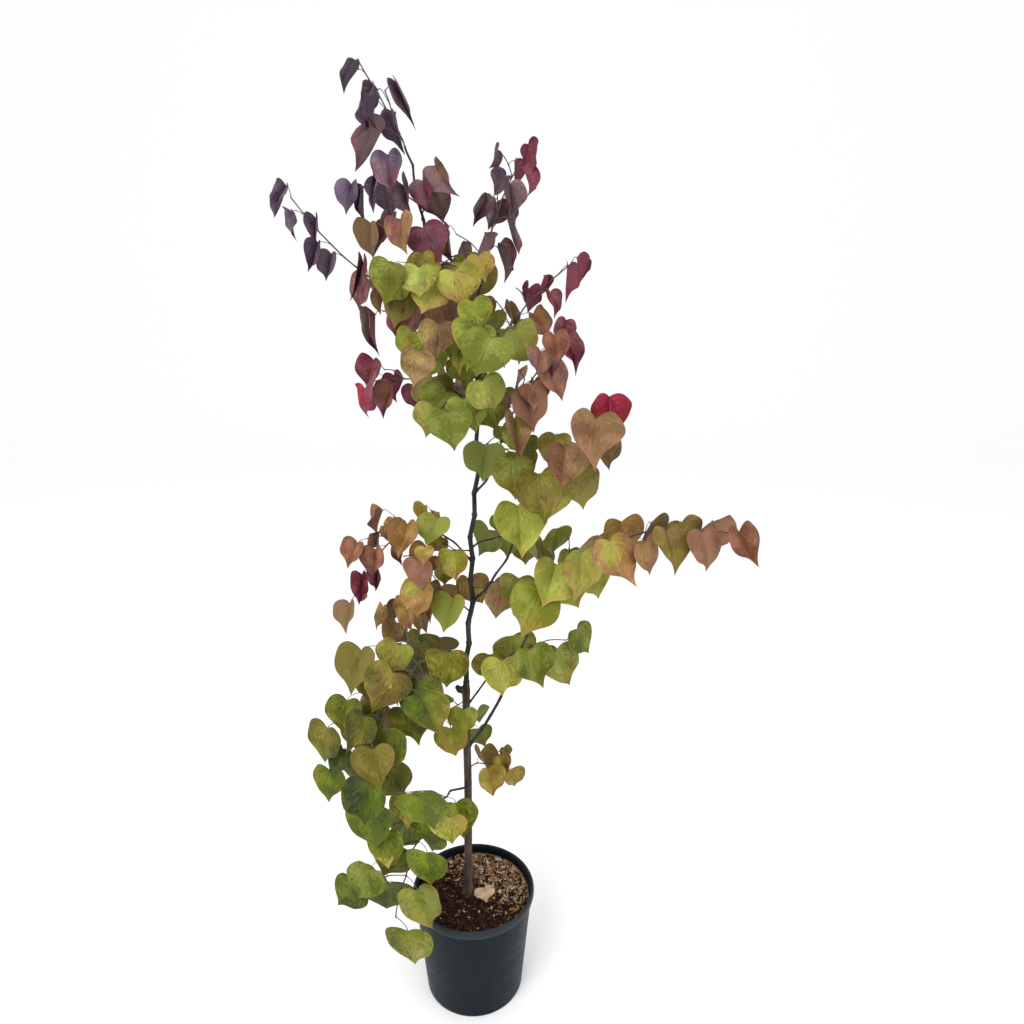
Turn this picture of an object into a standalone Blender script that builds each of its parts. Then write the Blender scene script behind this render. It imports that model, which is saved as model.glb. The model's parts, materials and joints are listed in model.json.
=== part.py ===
"""Young redbud tree in a nursery pot, in autumn leaf.

Metres, +Z up. The origin is the middle of the pot's flat underside, +X runs to the right of the
plant's best side and +Y to its back. Limbs follow smooth bows from the trunk to their tips, and
their leaves stand alternately at the nodes by one seeded rule.
"""
import math
import random
from collections import namedtuple

import bmesh
import bpy
from mathutils import Vector
from mathutils.bvhtree import BVHTree

GAP = 0.0003
UP = Vector((0.0, 0.0, 1.0))
FRONT = Vector((0.0, -1.0, 0.0))

POT_HEIGHT = 0.262
POT_BASE_RADIUS = 0.112
POT_NECK_RADIUS = 0.134
POT_RIM_RADIUS = 0.140
POT_WALL = 0.0032
POT_FLOOR = 0.005
POT_SIDES = 36
RIM_DEPTH = 0.020
RIM_ROLL = 0.003
SOIL_TOP = 0.240
SOIL_FALL = 0.006

TRUNK_SIDES = 10
TRUNK_NODE = 0.046
TRUNK_ZIGZAG = 0.0030
TRUNK_TOP = 1.794
KNOB_HEIGHT = 0.762
# Height, distance to the right and distance to the back of the trunk's middle line.
TRUNK_BENDS = (
    (0.240, -0.013, 0.000),
    (0.500, -0.009, 0.004),
    (0.762, -0.009, 0.000),
    (0.880, -0.003, -0.004),
    (0.970, 0.006, 0.000),
    (1.100, 0.007, 0.006),
    (1.250, 0.021, 0.000),
    (1.370, 0.016, -0.006),
    (1.430, -0.001, -0.004),
    (1.490, -0.006, 0.002),
    (1.570, -0.049, 0.006),
    (1.700, -0.072, 0.000),
    (1.794, -0.089, 0.000),
)
# Height and radius of the trunk: root flare, old stem below the snag, young leader above it.
TRUNK_RADII = (
    (0.240, 0.0140),
    (0.263, 0.0104),
    (0.340, 0.0090),
    (0.740, 0.0080),
    (0.762, 0.0092),
    (0.785, 0.0056),
    (1.250, 0.0043),
    (1.570, 0.0031),
    (1.794, 0.0020),
)

SNAG = ((-0.013, -0.003, 0.004), (-0.019, -0.004, 0.012))
SNAG_RADII = (0.0085, 0.0075, 0.0045)

TWIG_SIDES = 3
BOUGH_SIDES = 6
TWIG_RADIUS = 0.0012
STALK_RADIUS = 0.0016
ZIGZAG = 0.0035
SEAT_STEP = 0.0001
SPRING_RATE = 6.0
SPRING_FADE = 4
# Leaves: stalk length and blade thickness in leaf widths, how deep the stalk runs into the blade,
# and the room kept round a blade and a stalk.
STALK_SHARE = 0.42
LEAF_THICKNESS = 0.012
STALK_SINK = 0.010
BLADE_ROOM = 0.005
STALK_ROOM = 0.0022
# A stalk reaches to the side, along its twig and up; a blade hangs down and faces out and forward.
REACH = (0.75, 0.50, 0.20)
REACH_JITTER = 0.20
HANG_OUT = 0.35
HANG_JITTER = 0.26
FACE_OUT = 0.55
FACE_UP = 0.30
FACE_JITTER = 0.42
FRONT_DEPTH = 0.08
# A placing that would touch something is turned round the twig and made a little smaller.
TRIES = 12
TURN = math.radians(24)
SHRINK = 0.97
# Side twigs: direction as for a stalk, length in leaf widths and height of their bow.
TWIG_REACH = (0.80, 0.50, 0.25)
TWIG_LENGTH = 0.9
TWIG_BOW = 0.10
# One side of the heart-shaped blade, from the notch round its lobe to the drip tip, in leaf widths.
LEAF_SIDE = ((0.00, 0.00), (0.26, -0.13), (0.52, 0.08), (0.45, 0.44), (0.00, 0.88))

TINTS = {
    "green": (0.150, 0.220, 0.030),
    "lime": (0.330, 0.400, 0.060),
    "olive": (0.190, 0.170, 0.045),
    "gold": (0.500, 0.330, 0.060),
    "rust": (0.330, 0.090, 0.040),
    "bronze": (0.200, 0.085, 0.045),
    "crimson": (0.240, 0.020, 0.035),
    "purple": (0.060, 0.022, 0.050),
}

# One shoot: the height where it leaves the trunk, how far it springs outward before it turns up,
# the offsets of its bend and its tip from its base, its radius there, the share of it that is a
# bare bough, the spacing of its leaves, the number of its side twigs, the widths of its first and
# last leaf, their fold in degrees and their tints from base to tip.
Shoot = namedtuple("Shoot", "height spring bend tip foot limb spacing twigs widths fold tints")
SHOOTS = {
    "top": Shoot(
        1.794, 0.0, (-0.036, 0.010, 0.076), (-0.088, 0.000, 0.165), 0.0018, 0.15, 0.027, 1,
        (0.086, 0.058), 30, ("bronze", "purple", "purple", "purple")),
    "top_left": Shoot(
        1.730, 0.010, (-0.050, -0.030, 0.025), (-0.100, -0.045, 0.020), 0.0016, 0.0, 0.024, 1,
        (0.078, 0.062), 35, ("bronze", "purple", "purple")),
    "top_inner": Shoot(
        1.660, 0.0, (-0.030, -0.030, 0.020), (-0.062, -0.060, 0.025), 0.0015, 0.0, 0.026, 0,
        (0.070, 0.072), 30, ("bronze", "rust", "bronze")),
    "top_right": Shoot(
        1.712, 0.0, (0.008, -0.010, 0.035), (0.008, -0.020, 0.060), 0.0015, 0.0, 0.034, 0,
        (0.068, 0.064), 25, ("olive", "bronze")),
    "upper_left": Shoot(
        1.560, 0.0, (-0.120, -0.040, 0.045), (-0.240, -0.070, 0.172), 0.0022, 0.10, 0.027, 1,
        (0.082, 0.054), 30, ("olive", "rust", "bronze", "purple", "purple")),
    "left_second": Shoot(
        1.520, 0.0, (-0.060, -0.020, 0.035), (-0.125, -0.030, 0.025), 0.0018, 0.0, 0.028, 0,
        (0.075, 0.072), 25, ("olive", "rust", "crimson", "bronze")),
    "upper_right": Shoot(
        1.470, 0.030, (0.050, 0.050, 0.210), (0.118, 0.070, 0.350), 0.0026, 0.22, 0.030, 2,
        (0.085, 0.055), 25, ("olive", "bronze", "bronze", "purple", "purple")),
    "right_second": Shoot(
        1.400, 0.020, (0.082, 0.030, 0.126), (0.190, 0.050, 0.228), 0.0024, 0.25, 0.028, 1,
        (0.078, 0.062), 25, ("olive", "rust", "crimson", "crimson")),
    "right_third": Shoot(
        1.195, 0.040, (0.070, -0.050, 0.165), (0.175, -0.080, 0.315), 0.0026, 0.22, 0.032, 1,
        (0.088, 0.064), 20, ("olive", "lime", "gold", "rust", "crimson")),
    "right_inner": Shoot(
        1.290, 0.0, (0.035, -0.040, 0.010), (0.075, -0.080, 0.000), 0.0016, 0.0, 0.028, 0,
        (0.078, 0.082), 12, ("lime", "green")),
    "right_fourth": Shoot(
        0.967, 0.040, (0.115, -0.100, 0.228), (0.250, -0.150, 0.405), 0.0028, 0.30, 0.038, 0,
        (0.104, 0.084), 12, ("green", "lime", "olive", "bronze", "crimson")),
    "long_right": Shoot(
        0.619, 0.100, (0.175, -0.060, 0.422), (0.508, -0.090, 0.522), 0.0036, 0.32, 0.034, 1,
        (0.118, 0.080), 15, ("green", "green", "olive", "rust", "olive", "rust", "rust")),
    "right_low": Shoot(
        0.722, 0.010, (0.078, -0.020, 0.118), (0.160, 0.020, 0.130), 0.0024, 0.20, 0.030, 2,
        (0.092, 0.094), 15, ("olive", "green", "green")),
    "left_high": Shoot(
        1.372, 0.0, (-0.085, 0.020, 0.042), (-0.200, 0.030, 0.040), 0.0020, 0.12, 0.030, 0,
        (0.098, 0.068), 20, ("green", "green", "bronze", "crimson")),
    "left_arch": Shoot(
        1.050, 0.0, (-0.118, -0.020, 0.075), (-0.230, -0.060, -0.048), 0.0022, 0.18, 0.024, 2,
        (0.082, 0.058), 30, ("lime", "gold", "rust", "bronze", "crimson")),
    "left_mid": Shoot(
        0.943, 0.0, (-0.080, 0.030, 0.025), (-0.165, 0.080, -0.080), 0.0020, 0.0, 0.032, 1,
        (0.084, 0.060), 15, ("lime", "olive", "rust")),
    "left_low": Shoot(
        0.845, 0.0, (-0.115, -0.080, -0.005), (-0.214, -0.130, -0.235), 0.0028, 0.15, 0.027, 1,
        (0.094, 0.104), 12, ("olive", "green", "green", "green")),
    "left_inner": Shoot(
        1.075, 0.0, (-0.065, -0.030, 0.010), (-0.130, -0.050, 0.005), 0.0018, 0.0, 0.034, 0,
        (0.074, 0.070), 15, ("lime", "gold", "crimson")),
    "low_left": Shoot(
        0.521, 0.0, (-0.080, -0.110, 0.000), (-0.144, -0.170, -0.190), 0.0026, 0.16, 0.034, 1,
        (0.088, 0.102), 12, ("lime", "green", "lime", "green")),
    "low_front": Shoot(
        0.740, 0.0, (-0.025, -0.050, 0.010), (-0.040, -0.080, 0.000), 0.0015, 0.0, 0.045, 0,
        (0.066, 0.066), 10, ("lime",)),
    "centre_left": Shoot(
        1.540, 0.0, (-0.035, -0.060, 0.045), (-0.055, -0.110, 0.085), 0.0017, 0.0, 0.026, 1,
        (0.078, 0.074), 15, ("gold", "lime", "green")),
    "centre_top": Shoot(
        1.592, 0.0, (0.025, -0.040, 0.035), (0.062, -0.110, 0.010), 0.0017, 0.0, 0.026, 1,
        (0.075, 0.074), 15, ("lime", "gold", "lime")),
    "centre_right": Shoot(
        1.475, 0.0, (0.040, -0.075, 0.040), (0.080, -0.130, 0.022), 0.0017, 0.0, 0.028, 1,
        (0.080, 0.078), 15, ("green", "lime", "green")),
    "centre_front": Shoot(
        1.450, 0.0, (-0.020, -0.080, 0.040), (-0.045, -0.140, 0.045), 0.0017, 0.0, 0.028, 1,
        (0.078, 0.076), 12, ("green", "lime", "olive")),
    "centre_low": Shoot(
        1.345, 0.0, (-0.025, -0.060, 0.045), (-0.060, -0.110, 0.030), 0.0017, 0.0, 0.030, 1,
        (0.080, 0.074), 12, ("lime", "green", "olive")),
    "right_small": Shoot(
        0.995, 0.0, (0.045, -0.010, 0.005), (0.092, -0.030, 0.015), 0.0016, 0.0, 0.034, 0,
        (0.045, 0.104), 15, ("rust", "rust", "green")),
    "right_bottom": Shoot(
        0.567, 0.0, (0.040, 0.000, 0.015), (0.080, 0.000, -0.005), 0.0016, 0.0, 0.024, 0,
        (0.078, 0.068), 30, ("gold", "olive")),
    "back_high": Shoot(
        1.508, 0.0, (-0.025, 0.100, 0.035), (-0.045, 0.190, 0.050), 0.0022, 0.15, 0.032, 1,
        (0.085, 0.070), 15, ("green", "lime", "olive")),
    "back_upper": Shoot(
        1.330, 0.0, (-0.025, 0.110, 0.045), (-0.055, 0.210, 0.060), 0.0022, 0.15, 0.034, 0,
        (0.085, 0.070), 15, ("green", "olive", "rust")),
    "back_mid": Shoot(
        1.080, 0.0, (0.065, 0.110, -0.010), (0.130, 0.190, -0.060), 0.0022, 0.32, 0.034, 0,
        (0.088, 0.075), 15, ("green", "lime", "olive")),
    "back_low": Shoot(
        0.795, 0.0, (-0.090, 0.110, 0.010), (-0.170, 0.190, -0.110), 0.0024, 0.15, 0.036, 1,
        (0.090, 0.085), 12, ("olive", "green", "green")),
    "back_foot": Shoot(
        0.600, 0.0, (-0.025, 0.090, 0.010), (-0.055, 0.180, -0.020), 0.0022, 0.15, 0.036, 0,
        (0.085, 0.080), 15, ("green", "olive")),
}

Solid = namedtuple("Solid", "points faces low high tree")


def clear_scene():
    for item in list(bpy.data.objects):
        bpy.data.objects.remove(item)


def material(name, colour, roughness, metallic=0.0):
    made = bpy.data.materials.new(name)
    made.use_nodes = True
    shader = made.node_tree.nodes["Principled BSDF"]
    shader.inputs["Base Color"].default_value = (*colour, 1.0)
    shader.inputs["Roughness"].default_value = roughness
    shader.inputs["Metallic"].default_value = metallic
    return made


def new_object(name, points, faces, finish, smooth=False):
    mesh = bpy.data.meshes.new(name)
    mesh.from_pydata([tuple(point) for point in points], [], faces)
    mesh.materials.append(finish)
    if smooth:
        mesh.shade_smooth()
        mesh.set_sharp_from_angle(angle=math.radians(40))
    made = bpy.data.objects.new(name, mesh)
    bpy.context.scene.collection.objects.link(made)
    return made


def turned(name, profile, finish):
    """Turn a profile of (radius, height) corners, from axis to axis, round +Z."""
    work = bmesh.new()
    corners = [work.verts.new((radius, 0.0, height)) for radius, height in profile]
    edges = [work.edges.new(pair) for pair in zip(corners, corners[1:])]
    bmesh.ops.spin(
        work, geom=corners + edges, cent=(0, 0, 0), axis=(0, 0, 1), angle=math.tau,
        steps=POT_SIDES, use_merge=True)
    bmesh.ops.remove_doubles(work, verts=work.verts, dist=1e-6)
    bmesh.ops.recalc_face_normals(work, faces=work.faces)
    mesh = bpy.data.meshes.new(name)
    work.to_mesh(mesh)
    work.free()
    mesh.materials.append(finish)
    mesh.shade_smooth()
    mesh.set_sharp_from_angle(angle=math.radians(40))
    made = bpy.data.objects.new(name, mesh)
    bpy.context.scene.collection.objects.link(made)
    return made


def arc(centre, radius, start, end, steps):
    """Corners of an arc of a profile, angles in degrees from the outward direction."""
    turns = [math.radians(start + (end - start) * step / steps) for step in range(steps + 1)]
    return [(centre[0] + radius * math.cos(a), centre[1] + radius * math.sin(a)) for a in turns]


def make_pot():
    """Hollow tapering tub with a rolled rim band."""
    band_foot = POT_HEIGHT - RIM_DEPTH
    roll = (POT_RIM_RADIUS - RIM_ROLL, POT_HEIGHT - RIM_ROLL)
    profile = [(0.0, 0.0), (POT_BASE_RADIUS - 0.004, 0.0), (POT_BASE_RADIUS, 0.004)]
    profile += [(POT_NECK_RADIUS, band_foot), (POT_RIM_RADIUS - 0.001, band_foot + 0.001)]
    profile += arc(roll, RIM_ROLL, 0, 90, 3)
    profile += [(POT_NECK_RADIUS - POT_WALL, POT_HEIGHT - RIM_ROLL)]
    profile += [(POT_BASE_RADIUS - POT_WALL, POT_FLOOR), (0.0, POT_FLOOR)]
    return turned("pot", profile, material("pot", (0.050, 0.058, 0.064), 0.55))


def make_soil():
    """Fill of the pot, level round the trunk and a little lower at the wall."""
    def reach(height):
        inner = (POT_HEIGHT - RIM_ROLL - POT_FLOOR)
        share = (height - POT_FLOOR) / inner
        span = POT_NECK_RADIUS - POT_BASE_RADIUS
        return POT_BASE_RADIUS - POT_WALL + span * share - 2 * GAP
    foot = POT_FLOOR + GAP
    shoulder = SOIL_TOP - SOIL_FALL
    profile = [(0.0, foot), (reach(foot), foot), (reach(shoulder), shoulder)]
    profile += [(reach(shoulder) * 0.86, SOIL_TOP - SOIL_FALL * 0.25)]
    profile += [(reach(shoulder) * 0.60, SOIL_TOP), (0.0, SOIL_TOP)]
    return turned("soil", profile, material("soil", (0.045, 0.026, 0.018), 0.95))


def between(rows, height):
    """Read a table of (height, value) rows with straight runs between them."""
    for (low, first), (high, last) in zip(rows, rows[1:]):
        if height <= high:
            return first + (last - first) * max(0.0, height - low) / (high - low)
    return rows[-1][1]


def eased(rows, column, height):
    """Read a column of the trunk's bends along a smooth curve."""
    last = len(rows) - 1
    index = next((i for i in range(last) if height <= rows[i + 1][0]), last - 1)
    low, high = rows[index], rows[index + 1]
    share = min(1.0, max(0.0, (height - low[0]) / (high[0] - low[0])))

    def slope(i):
        before, after = rows[max(0, i - 1)], rows[min(last, i + 1)]
        return (after[column] - before[column]) / (after[0] - before[0])
    span = high[0] - low[0]
    bow = share * (1 - share) * span
    lift = bow * ((1 - share) * slope(index) - share * slope(index + 1))
    ease = share * share * (3 - 2 * share)
    return low[column] + (high[column] - low[column]) * ease + lift


def wave(turns):
    return 4 * abs(turns - math.floor(turns + 0.5)) - 1


def trunk_point(height):
    """Middle of the trunk at a height: its lean and bends, and a small kink at each node."""
    sway = TRUNK_ZIGZAG * min(1.0, max(0.0, (height - KNOB_HEIGHT) / 0.1))
    turns = height / (2 * TRUNK_NODE)
    right = eased(TRUNK_BENDS, 1, height) + sway * wave(turns)
    back = eased(TRUNK_BENDS, 2, height) + 0.5 * sway * wave(turns * 0.5)
    return Vector((right, back, height))


def trunk_radius(height):
    return between(TRUNK_RADII, height)


def tube(line, radii, sides, foot_normal=None):
    """Closed tube along a line, one ring at each point, mitred where the line turns."""
    count = len(line)
    runs = [(line[i + 1] - line[i]).normalized() for i in range(count - 1)]
    normals = [runs[0]] + [(a + b).normalized() for a, b in zip(runs, runs[1:])] + [runs[-1]]
    side = runs[0].cross(Vector((0.31, 0.17, -0.93))).normalized()
    points = []
    for i in range(count):
        run = runs[min(i, count - 2)]
        side = (side - side.dot(run) * run).normalized()
        other = run.cross(side)
        cut = foot_normal if i == 0 and foot_normal else normals[i]
        for k in range(sides):
            turn = math.tau * k / sides
            spoke = (side * math.cos(turn) + other * math.sin(turn)) * radii[i]
            points.append(line[i] + spoke - run * (spoke.dot(cut) / run.dot(cut)))
    faces = [tuple(reversed(range(sides)))]
    for i in range(count - 1):
        a, b = i * sides, (i + 1) * sides
        for k in range(sides):
            n = (k + 1) % sides
            faces.append((a + k, a + n, b + n, b + k))
    faces.append(tuple(range((count - 1) * sides, count * sides)))
    return points, faces


def stalk(start, end, radius):
    """Three-sided leaf stalk that tapers to a point."""
    run = (end - start).normalized()
    side = run.cross(Vector((0.31, 0.17, -0.93))).normalized()
    other = run.cross(side)
    points = []
    for k in range(TWIG_SIDES):
        turn = math.tau * k / TWIG_SIDES
        points.append(start + (side * math.cos(turn) + other * math.sin(turn)) * radius)
    sides = [(k, (k + 1) % TWIG_SIDES, TWIG_SIDES) for k in range(TWIG_SIDES)]
    return points + [end], [tuple(reversed(range(TWIG_SIDES)))] + sides


def blade(notch, down, facing, width, fold, thickness):
    """Heart-shaped leaf as a plate of two flat halves that fold forward along the midrib."""
    across = down.cross(facing)
    lean = math.radians(fold)
    half = facing * (thickness / 2)
    outline = [(x, y, 1) for x, y in LEAF_SIDE] + [(x, y, -1) for x, y in LEAF_SIDE[-2:0:-1]]
    points = []
    for skin in (half, -half):
        for x, y, hand in outline:
            out = across * (hand * math.cos(lean)) + facing * math.sin(lean)
            points.append(notch + (out * x + down * y) * width + skin)
    count = len(outline)
    tip = len(LEAF_SIDE) - 1
    right = list(range(tip + 1))
    left = list(range(tip, count)) + [0]
    faces = [tuple(right), tuple(left)]
    faces += [tuple(count + i for i in reversed(ring)) for ring in (right, left)]
    faces += [(i, count + i, count + (i + 1) % count, (i + 1) % count) for i in range(count)]
    return points, faces


def solid(shape):
    points, faces = shape
    low = [min(point[i] for point in points) for i in range(3)]
    high = [max(point[i] for point in points) for i in range(3)]
    return Solid(points, faces, low, high, BVHTree.FromPolygons(points, faces))


def touch(one, other):
    apart = any(one.low[i] > other.high[i] or other.low[i] > one.high[i] for i in range(3))
    return not apart and bool(one.tree.overlap(other.tree))


def shoot_line(shoot):
    """Points along a shoot, one at each node, on a bow through its bend, kinked side to side."""
    base = trunk_point(shoot.height)
    tip = Vector(shoot.tip)
    swing = 2 * Vector(shoot.bend) - tip / 2
    spring = Vector((tip.x, tip.y, 0.0)).normalized() * shoot.spring * SPRING_RATE

    def place(share):
        bow = 2 * share * (1 - share) * swing + share * share * tip
        return base + bow + spring * share * (1 - share) ** SPRING_FADE
    marks = [place(i / 20) for i in range(21)]
    length = sum((b - a).length for a, b in zip(marks, marks[1:]))
    count = max(3, round(length / shoot.spacing))
    line = []
    for i in range(count + 1):
        share = i / count
        ahead = place(min(1.0, share + 0.01)) - place(max(0.0, share - 0.01))
        kink = ZIGZAG if 0 < i < count else 0.0
        line.append(place(share) + ahead.cross(UP).normalized() * kink * (-1) ** i)
    return line


def split_line(line, share):
    """Cut a line in the middle of one of its runs into a bough and a twig 0.3 mm beyond it."""
    if share <= 0:
        return [], line
    index = max(1, round(share * (len(line) - 1)))
    run = line[index + 1] - line[index]
    middle = line[index] + run / 2
    ahead = run.normalized() * GAP
    return line[:index + 1] + [middle], [middle + ahead] + line[index + 1:]


def radii_along(line, whole, foot):
    """Radius at each point of a piece of a shoot, tapering from its foot to its tip."""
    total = sum((b - a).length for a, b in zip(whole, whole[1:]))
    radii = []
    for point in line:
        share = min(1.0, (point - whole[0]).length / total)
        radii.append(max(TWIG_RADIUS, foot + (TWIG_RADIUS - foot) * share))
    return radii


def seated(line, radii, sides, carrier, skin):
    """Tube whose foot is cut flat along the trunk and moved out until it is just clear of it."""
    away = line[1] - line[0]
    away = Vector((away.x, away.y, 0.0)).normalized()
    run = (line[1] - line[0]).normalized()
    reach = skin * 0.4
    shape = None
    while shape is None or touch(solid(shape), carrier):
        reach += SEAT_STEP
        start = line[0] + run * (reach / run.dot(away))
        shape = tube([start] + line[1:], radii, sides, away)
    return shape


def jitter(dice, size):
    return Vector([dice.uniform(-size, size) for _ in range(3)])


def course(dice, ahead, hand, turn, shares):
    """Direction off a twig: to one side of it, along it and up, turned round the twig."""
    across = ahead.cross(UP).normalized() * hand
    lift = ahead.cross(across) * hand
    sideways = across * math.cos(turn) + lift * math.sin(turn)
    way = sideways * shares[0] + ahead * shares[1] + UP * shares[2]
    return (way + jitter(dice, REACH_JITTER)).normalized()


def leaf_pose(dice, node, ahead, hand, width, attempt):
    """Where a leaf's notch lies, which way its blade hangs and faces, and its width."""
    turn = TURN * ((attempt + 1) // 2) * (-1) ** attempt
    reach = course(dice, ahead, hand, turn, REACH)
    width *= SHRINK ** attempt
    notch = node + reach * width * STALK_SHARE
    down = (reach * HANG_OUT - UP + jitter(dice, HANG_JITTER)).normalized()
    outward = Vector((notch.x, notch.y, 0.0)).normalized()
    front = max(0.0, 1.0 - max(0.0, notch.y) / FRONT_DEPTH)
    facing = FRONT * front + outward * FACE_OUT + UP * FACE_UP + jitter(dice, FACE_JITTER)
    facing = (facing - facing.dot(down) * down).normalized()
    return notch, down, facing, width


def grow_leaf(dice, node, ahead, hand, width, fold, room):
    """Stalk and blade in the first placing that keeps clear of the room's solids, or nothing."""
    for attempt in range(TRIES):
        notch, down, facing, size = leaf_pose(dice, node, ahead, hand, width, attempt)
        near = [node + (notch - node) * 0.25, notch]
        tests = (
            solid(blade(notch, down, facing, size * 1.03, fold, BLADE_ROOM)),
            solid(tube(near, [STALK_ROOM] * 2, TWIG_SIDES)))
        if any(touch(test, other) for test in tests for other in room):
            continue
        room.extend(tests)
        plate = blade(notch, down, facing, size, fold, size * LEAF_THICKNESS)
        return [stalk(node, notch + down * STALK_SINK, STALK_RADIUS), plate]
    return []


def grow_twig(dice, node, ahead, hand, width, fold, room):
    """Short bowed side twig with a leaf at its middle and one at its tip, or nothing."""
    way = course(dice, ahead, hand, 0.0, TWIG_REACH)
    length = width * TWIG_LENGTH
    middle = node + way * length * 0.5 + UP * length * TWIG_BOW
    tip = node + way * length
    near = solid(tube([node.lerp(middle, 0.2), middle, tip], [STALK_ROOM] * 3, TWIG_SIDES))
    if any(touch(near, other) for other in room):
        return []
    room.append(near)
    parts = [tube([node, middle, tip], [TWIG_RADIUS] * 3, TWIG_SIDES)]
    onward = (tip - middle).normalized()
    parts += grow_leaf(dice, middle, onward, 1, width * 0.9, fold, room)
    parts += grow_leaf(dice, tip, onward, -1, width * 0.9, fold, room)
    return parts


def grow_foliage(name, shoot, line, stem, room):
    """Parts of one mass of foliage: its stem, side twigs, stalks and blades."""
    dice = random.Random(name)
    parts = [stem]
    last = len(line) - 1
    first, final = shoot.widths
    stride = max(2, last // (shoot.twigs + 1))
    twig_nodes = list(range(2, last + 1, stride))[:shoot.twigs]
    for i in range(1, last + 1):
        ahead = (line[i] - line[i - 1]).normalized()
        hand = (-1) ** i
        width = (first + (final - first) * i / last) * dice.uniform(0.88, 1.10)
        fold = shoot.fold * dice.uniform(0.4, 1.3)
        if i in twig_nodes:
            parts += grow_twig(dice, line[i], ahead, -hand, width, fold, room)
        parts += grow_leaf(dice, line[i], ahead, hand, width, fold, room)
    return parts


def joined(name, shapes, finish):
    """Join shapes into one body with a single union on a collection."""
    body = new_object(name, *shapes[0], finish)
    rest = bpy.data.collections.new(name + "_parts")
    for number, shape in enumerate(shapes[1:]):
        extra = new_object(f"{name}_part_{number}", *shape, finish)
        bpy.context.scene.collection.objects.unlink(extra)
        rest.objects.link(extra)
    bpy.context.scene.collection.children.link(rest)
    union = body.modifiers.new("union", "BOOLEAN")
    union.operation = "UNION"
    union.operand_type = "COLLECTION"
    union.collection = rest
    evaluated = body.evaluated_get(bpy.context.evaluated_depsgraph_get())
    mesh = bpy.data.meshes.new_from_object(evaluated)
    body.modifiers.clear()
    body.data = mesh
    for extra in list(rest.objects):
        bpy.data.objects.remove(extra)
    bpy.data.collections.remove(rest)
    return body


def trunk_line():
    """Points up the trunk: close at the root flare and the snag, and one at each node above."""
    heights = [SOIL_TOP + GAP, SOIL_TOP + 0.010, SOIL_TOP + 0.030, SOIL_TOP + 0.100]
    below = KNOB_HEIGHT - 0.020
    runs = math.ceil((below - heights[-1]) / 0.12)
    heights += [heights[-1] + (below - heights[-1]) * (i + 1) / runs for i in range(runs)]
    heights += [KNOB_HEIGHT, KNOB_HEIGHT + 0.023]
    first = math.ceil((KNOB_HEIGHT + 0.030) / TRUNK_NODE)
    nodes = math.ceil((TRUNK_TOP - 0.010) / TRUNK_NODE)
    heights += [TRUNK_NODE * i for i in range(first, nodes)]
    return [trunk_point(height) for height in heights + [TRUNK_TOP]]


def trunk_tube(leader, spare):
    """Trunk from its flat foot on the soil up through the leader, with some spare radius."""
    line = trunk_line() + leader[1:]
    radii = [trunk_radius(point.z) + spare for point in line]
    return tube(line, radii, TRUNK_SIDES, UP)


def make_snag():
    """Healed stub of an old stem on the left of the trunk."""
    knob = trunk_point(KNOB_HEIGHT)
    return tube([knob] + [knob + Vector(step) for step in SNAG], SNAG_RADII, BOUGH_SIDES)


def pot_room():
    """Space of the pot that no leaf may enter."""
    line = [Vector((0.0, 0.0, -0.010)), Vector((0.0, 0.0, POT_HEIGHT + 0.005))]
    return solid(tube(line, [POT_BASE_RADIUS + 0.010, POT_RIM_RADIUS + 0.006], 24))


def make_limbs():
    """Trunk and boughs; gives back each mass's twig line and stem, and the space all fill."""
    bark = material("bark", (0.075, 0.062, 0.055), 0.85)
    whole = {name: shoot_line(shoot) for name, shoot in SHOOTS.items()}
    leader = split_line(whole["top"], SHOOTS["top"].limb)[0]
    snag = make_snag()
    joined("trunk", [trunk_tube(leader, 0.0), snag], bark)
    carrier = solid(trunk_tube(leader, GAP))
    room = [carrier, solid(snag)]
    stems = {}
    for name, shoot in SHOOTS.items():
        limb, line = split_line(whole[name], shoot.limb)
        skin = trunk_radius(shoot.height)
        radii = radii_along(line, whole[name], shoot.foot)
        if limb and name != "top":
            wood = radii_along(limb, whole[name], shoot.foot)
            bough = seated(limb, wood, BOUGH_SIDES, carrier, skin)
            new_object("bough_" + name, *bough, bark, smooth=True)
            room.append(solid(bough))
        if limb:
            stem = tube(line, radii, TWIG_SIDES)
        else:
            stem = seated(line, radii, TWIG_SIDES, carrier, skin)
        room.append(solid(stem))
        stems[name] = (line, stem)
    return stems, room


def make_tree():
    stems, room = make_limbs()
    room.append(pot_room())
    for name, shoot in SHOOTS.items():
        shapes = grow_foliage(name, shoot, *stems[name], room)
        middle = shoot.tints[len(shoot.tints) // 2]
        joined("foliage_" + name, shapes, material("leaf_" + name, TINTS[middle], 0.6))


clear_scene()
make_pot()
make_soil()
make_tree()
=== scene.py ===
"""Looks of the young redbud tree: relief of the bark, heart-shaped leaves, pot and potting soil.

Metres, in the frame of the CAD model. Each mass of foliage grows by the same seeded rule as the
solids, so that its leaves hang where theirs do, and goes on to finer twigs with smaller leaves.
"""

import json
import math
import random
from collections import namedtuple

import bpy
import numpy as np
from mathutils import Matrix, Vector, noise
from mathutils.bvhtree import BVHTree


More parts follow.
